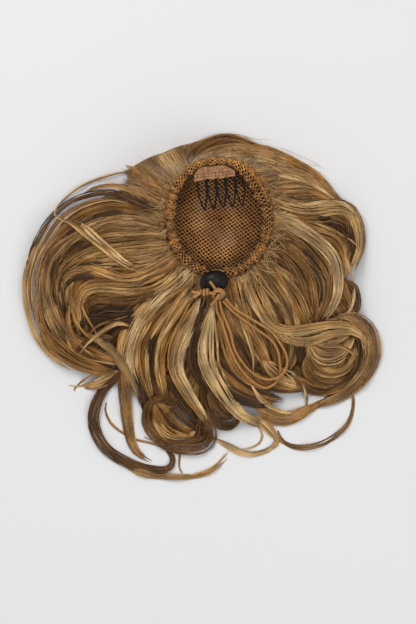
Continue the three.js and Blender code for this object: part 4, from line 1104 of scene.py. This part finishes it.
def net_casing():
    """Gathered casing: a braid of net threads, with gathers drawn across it in places."""
    angle = casing_span(BRAID["steps"])
    paths, shades = [], []
    for direction in (1, -1):
        for thread in range(BRAID["threads"]):
            turn = direction * (BRAID["turns"] * angle + thread / BRAID["threads"] * FULL_TURN)
            for sway in BRAID_SWAYS:
                turn = turn + sway.size * np.sin(sway.count * angle + sway.thread_shift * thread)
            over = np.cos(BRAID["turns"] * BRAID["threads"] * angle + direction * math.pi / 2)
            paths.append(casing_point(angle, turn, 1 + BRAID["over"] * over))
            shades.append(casing_shade(angle, turn))
    for stretch in np.radians(RIBS["stretches"]):
        for place in np.arange(*stretch, RIBS["spacing"] / RIM["half_width"]):
            first, last = rng.uniform(0, RIBS["end"]), math.pi - rng.uniform(0, RIBS["end"])
            turn = np.linspace(first, last, RIBS["steps"])
            shift = rng.uniform(-RIBS["shift"], RIBS["shift"])
            slant = rng.uniform(-RIBS["slant"], RIBS["slant"])
            rib = place + shift + slant * np.cos(turn)
            paths.append(casing_point(rib, turn, rng.uniform(*RIBS["swell"])))
            shades.append(casing_shade(rib, turn))
    # Painted shade between the gathers and down the sides of the casing, and painted light near the comb
    piece = threads_object("net_casing", paths, BRAID["radius"], BRAID["sides"], MATERIALS["casing"])
    paint_threads(piece, shades, BRAID["sides"])
    return settle(piece, "rim_casing")


def shaded_casing_hem():
    """Hem of net inside the braid, painted nearly black as the shade seen through its gaps."""
    angle = casing_span(HEM["around"])[:, None]
    turn = np.linspace(0, FULL_TURN, HEM["section"], endpoint=False)[None, :]
    piece = tubes_object("shaded_casing_hem", [casing_point(angle, turn, HEM["swell"])[None]], MATERIALS["hem"])
    return settle(piece, "rim_casing")


# Cord, cord lock and knots


def cord_rings(points):
    """Middle line and rings of vertices of a cord along points, with a fine rib wound round it."""
    rings = max(CORD["fewest_rings"], round(length_of(curve_through(points, LINE_POINTS)) / CORD["step"]))
    path = curve_through(points, rings)
    along = np.linspace(0, length_of(path), rings)
    angles = np.arange(CORD["sides"]) / CORD["sides"] * FULL_TURN
    wound = CORD["rib_starts"] * angles - FULL_TURN * (along / CORD["rib_pitch"])[:, None]
    radii = CORD["diameter"] / 2 * (1 + CORD["rib"] * np.cos(wound))
    across, over = frames_along(path[None])
    return path, path[:, None, :] + radii[..., None] * wheel(angles, across[0], over[0])


def cord_piece(name, routes, node):
    """One mesh of cords along routes, and the middle line of the first."""
    cords = [cord_rings(route) for route in routes]
    piece = tubes_object(name, [rings[None] for _, rings in cords], MATERIALS["cord"])
    return settle(piece, node), cords[0][0]


def square_to(axis):
    """Two directions square to an axis and to each other."""
    side = unit(np.cross(UP, axis))
    return side, np.cross(axis, side)


def bore_end():
    """How far along its axis the bore opens from the bead's middle."""
    return BEAD["half_length"] * math.sqrt(1 - (BEAD["bore"] / BEAD["radius"]) ** 2)


def cord_lock():
    """Flattened bead turned round its axis, with a bore through it."""
    limit = math.asin(bore_end() / BEAD["half_length"])
    angles = np.linspace(-limit, limit, BEAD["arc"])
    bore_along = np.linspace(bore_end(), -bore_end(), BEAD["bore_rings"] + 2)[1:-1]
    radius = np.concatenate([BEAD["radius"] * np.cos(angles), np.full(BEAD["bore_rings"], BEAD["bore"])])
    along = np.concatenate([BEAD["half_length"] * np.sin(angles), bore_along])
    spokes = wheel(np.linspace(0, FULL_TURN, BEAD["round"], endpoint=False), *square_to(BEAD_AXIS))
    rings = BEAD_CENTRE + radius[None, :, None] * spokes[:, None, :] + along[None, :, None] * BEAD_AXIS
    index = np.arange(rings.size // 3).reshape(BEAD["round"], -1)
    closed = np.concatenate([index, index[:, :1]], axis=1)
    faces = quads_between(closed, np.roll(closed, -1, axis=0))
    piece = mesh_object("bead", rings.reshape(-1, 3), [faces], MATERIALS["bead"])
    return settle(piece, "cord_lock")


def drawstring_route():
    """Cord from the bead's bore round the rim and back into the bore."""
    leave = math.radians(RIM_CORD["exit_half_angle"])
    angle = np.linspace(bead_angle() - leave, bead_angle() - FULL_TURN + leave, RIM_CORD["points"])
    round_rim = polar(angle, rim_radius(angle), rim_height(angle))
    along = np.array([bore_end(), 0, -bore_end(), -bore_end() - BORE_CORD["lead_in"]])[:, None]
    side = square_to(BEAD_AXIS)[0]
    side = side * np.sign(side[0])
    runs = [BEAD_CENTRE + along * BEAD_AXIS + sign * BORE_CORD["offset"] * side for sign in (-1, 1)]
    return np.concatenate([runs[0], round_rim, runs[1][::-1]])


def knot_route():
    """Middle line of the knot on the end of the bead: turns of cord drawn up into each other."""
    side, over = square_to(KNOT_AXIS)
    turns, radii, depths = np.array(KNOT_COIL).T
    turn = np.linspace(0, turns[-1], KNOT_STEPS)[:, None]
    radius, depth = np.interp(turn, turns, radii), np.interp(turn, turns, depths)
    angle = KNOT_TURN - FULL_TURN * turn
    return KNOT_CENTRE + radius * (np.cos(angle) * side + np.sin(angle) * over) + depth * KNOT_AXIS


def tail_routes():
    """Coil of the two cord ends, the ends that stick out of it, and the cord that links it to the knot."""
    side = unit(np.cross(TAIL_AIM, UP))
    lift = np.cross(side, TAIL_AIM)
    turn = np.linspace(0, TAIL["turns"], TAIL["steps"])[:, None]
    spoke = np.cos(FULL_TURN * turn) * side + np.sin(FULL_TURN * turn) * lift
    coil = TAIL_START + TAIL["pitch"] * turn * TAIL_AIM + TAIL["coil_radius"] * spoke
    share = np.linspace(0, 1, TAIL["end_points"])[:, None]
    aims = [unit(TAIL_AIM + spread * side) for spread in (TAIL["spread"], -TAIL["spread"])]
    return [coil, *[coil[-1] + share * TAIL["end_length"] * aim for aim in aims], TAIL_LINK]


# Comb and tape


def on_comb(points):
    """Points of the comb's own plane, placed on the rim."""
    turn, slope = COMB_TURN, COMB_SLOPE
    x, y, z = np.moveaxis(np.asarray(points, float), -1, 0)
    y, z = y * math.cos(slope) - z * math.sin(slope), y * math.sin(slope) + z * math.cos(slope)
    x, y = x * math.cos(turn) - y * math.sin(turn), x * math.sin(turn) + y * math.cos(turn)
    return np.stack([x, y, z], axis=-1) + COMB_PLACE


def comb():
    """Row of wire teeth, each one wire bent to a point, on a bar that the tape covers."""
    first = -COMB["pitch"] * COMB["teeth"] / 2
    stem, shoulder = COMB["stem"], COMB["tooth"] - COMB["wire"]
    paths = []
    for tooth in range(COMB["teeth"]):
        left = first + tooth * COMB["pitch"] + COMB["pair_offset"]
        right = left + COMB["pitch"] - 2 * COMB["pair_offset"]
        tip = (left + right) / 2
        halves = []
        for x, sign in ((left, -1), (right, 1)):
            ends = (x, -stem, 0), (tip + sign * COMB["tip_half_width"], -shoulder, 0)
            slope = np.linspace(*ends, COMB_WIRE["slope_points"])[1:]
            halves.append([(x, 0, 0), (x, -stem / 2, 0), (x, COMB["bend"] - stem, 0), *slope])
        route = [*halves[0], (tip, -COMB["tooth"], 0), *halves[1][::-1]]
        paths.append(on_comb(curve_through(route, COMB_WIRE["samples"])))
    half = COMB_BAR["length"] / 2
    paths.append(on_comb(np.linspace((-half, 0, 0), (half, 0, 0), COMB_WIRE["bar_points"])))
    piece = threads_object("comb_wires", paths, COMB["wire"] / 2, COMB_WIRE["sides"], MATERIALS["wire"])
    return settle(piece, "comb")


def tape_edges(along):
    """Lower and upper edge of the tape at places along it, with its two slanted upper corners."""
    half_length, half_width = TAPE["length"] / 2, TAPE["width"] / 2
    upper = np.full_like(along, half_width)
    for from_end, (length, width) in (
        (half_length + along, TAPE_SLANTS["left"]),
        (half_length - along, TAPE_SLANTS["right"]),
    ):
        upper = upper - width * np.clip(1 - from_end / length, 0, 1)
    sway = TAPE_WAVES["edge_sway"] * np.sin(TAPE_WAVES["edge_sway_rate"] * along)
    return TAPE_WAVES["edge"] * np.sin(TAPE_WAVES["edge_rate"] * along + sway) - half_width, upper


def tape_height(along, across):
    """Top of the tape over the comb's plane, rippled by its stitches."""
    ripple = np.sin(FULL_TURN * along / STITCHES["spacing"]) * np.cos(TAPE_WAVES["across_rate"] * across)
    sag = np.sin(TAPE_WAVES["sag_rate"] * along + TAPE_WAVES["sag_shift"])
    return COMB_BAR["thickness"] / 2 + CLEARANCE + TAPE["thickness"] + TAPE_WAVES["ripple"] * (ripple + sag)


def on_tape(along, across, height):
    along, across = along + TAPE_PLACE["across"], across + TAPE_PLACE["up"]
    return on_comb(np.stack(np.broadcast_arrays(along, across, height), axis=-1))


def comb_tape():
    """Strip of woven tape sewn over the comb's bar."""
    along = np.linspace(-TAPE["length"] / 2, TAPE["length"] / 2, TAPE["along"])[:, None]
    lower, upper = tape_edges(along)
    across = lower + (upper - lower) * np.linspace(0, 1, TAPE["across"])
    height = tape_height(along, across)
    faces = [on_tape(along, across, height - under).reshape(-1, 3) for under in (0, TAPE["thickness"])]
    index = np.arange(across.size).reshape(across.shape)
    sheet = quads_between(index[:-1], index[1:])
    border = np.concatenate([index[:, 0], index[-1, 1:], index[-2::-1, -1], index[0, -2:0:-1]])
    following = np.roll(border, -1)
    wall = np.stack([following, border, border + index.size, following + index.size], axis=1)
    quads = np.concatenate([sheet, sheet[:, ::-1] + index.size, wall])
    piece = mesh_object("tape", np.concatenate(faces), [quads], MATERIALS["tape"])
    return settle(piece, "comb_tape")


def tape_stitches():
    """Two rows of stitches along the tape."""
    last = TAPE["length"] / 2 - STITCHES["margin"]
    share = np.linspace(0, 1, STITCHES["points"])
    arch = STITCHES["radius"] * (np.sin(math.pi * share) - 0.5)
    paths = []
    for row in STITCHES["rows"]:
        for start in np.arange(-last, last, STITCHES["spacing"]):
            along = start + STITCHES["length"] * share
            if row <= tape_edges(along)[1].min() - STITCHES["margin"] / 2:
                paths.append(on_tape(along, row, tape_height(along, row) + arch))
    radius, sides = STITCHES["radius"], STITCHES["sides"]
    piece = threads_object("tape_stitches", paths, radius, sides, MATERIALS["stitch"])
    return settle(piece, "comb_tape")


# The scene


def camera():
    height = IMAGE["height"] * IMAGE["mm_per_pixel"]
    data = bpy.data.cameras.new("camera")
    data.sensor_width = CAMERA["sensor"]
    data.lens = CAMERA["sensor"] * CAMERA["distance"] / height
    data.clip_end = CAMERA["clip_end"] * MM
    eye = bpy.data.objects.new("camera", data)
    eye.location = Vector((*VIEW_CENTRE, CAMERA["distance"] + CAMERA["focus_height"])) * MM
    bpy.context.scene.collection.objects.link(eye)
    bpy.context.scene.camera = eye


def floor():
    corners = FLOOR_HALF * np.array([[-1.0, -1, 0], [1, -1, 0], [1, 1, 0], [-1, 1, 0]])
    material = new_material("floor_paper", {
        "Base Color": (0.82, 0.825, 0.83, 1), "Roughness": 0.9, "Specular IOR Level": 0.1,
    })[0]
    mesh_object("floor", corners, [np.array([[0, 1, 2, 3]])], material)


def lights():
    world = bpy.data.worlds.new("studio")
    world.use_nodes = True
    set_inputs(world.node_tree.nodes["Background"], {"Color": (1, 1, 1, 1), "Strength": WORLD_STRENGTH})
    bpy.context.scene.world = world
    for light in LIGHTS:
        data = bpy.data.lights.new(light.name, "AREA")
        data.size = light.size * MM
        data.energy = light.power
        lamp = bpy.data.objects.new(light.name, data)
        lamp.location = Vector(light.place) * MM
        aim = Vector((*VIEW_CENTRE, 0)) * MM - lamp.location
        lamp.rotation_mode = "QUATERNION"
        lamp.rotation_quaternion = aim.to_track_quat("-Z", "Y")
        bpy.context.scene.collection.objects.link(lamp)
    bpy.context.scene.view_settings.view_transform = "Standard"


camera()
floor()
lights()

net_pocket()
net_casing()
shaded_casing_hem()
comb()
comb_tape()
tape_stitches()
cord_lock()
cord_piece("rim_cord", [drawstring_route()], "drawstring")
cord_piece("main_knot", [knot_route(), *KNOT_ENDS], "drawstring_knot")
cord_piece("tail_coil", tail_routes(), "tail_knot")
for side, route in (("left", LEFT_LOOP_ROUTE), ("right", RIGHT_LOOP_ROUTE)):
    loop, path = cord_piece("loop_" + side, [route], "cord_loop_" + side)

hair_bed()
strand_piece("hair_roots", [root_strands()])
strand_piece("hair_flyaways", [flyaway_strands()])
for region, locks in LOCKS.items():
    strand_piece("hair_" + region, region_bundles(locks, region in TUCKED_REGIONS))
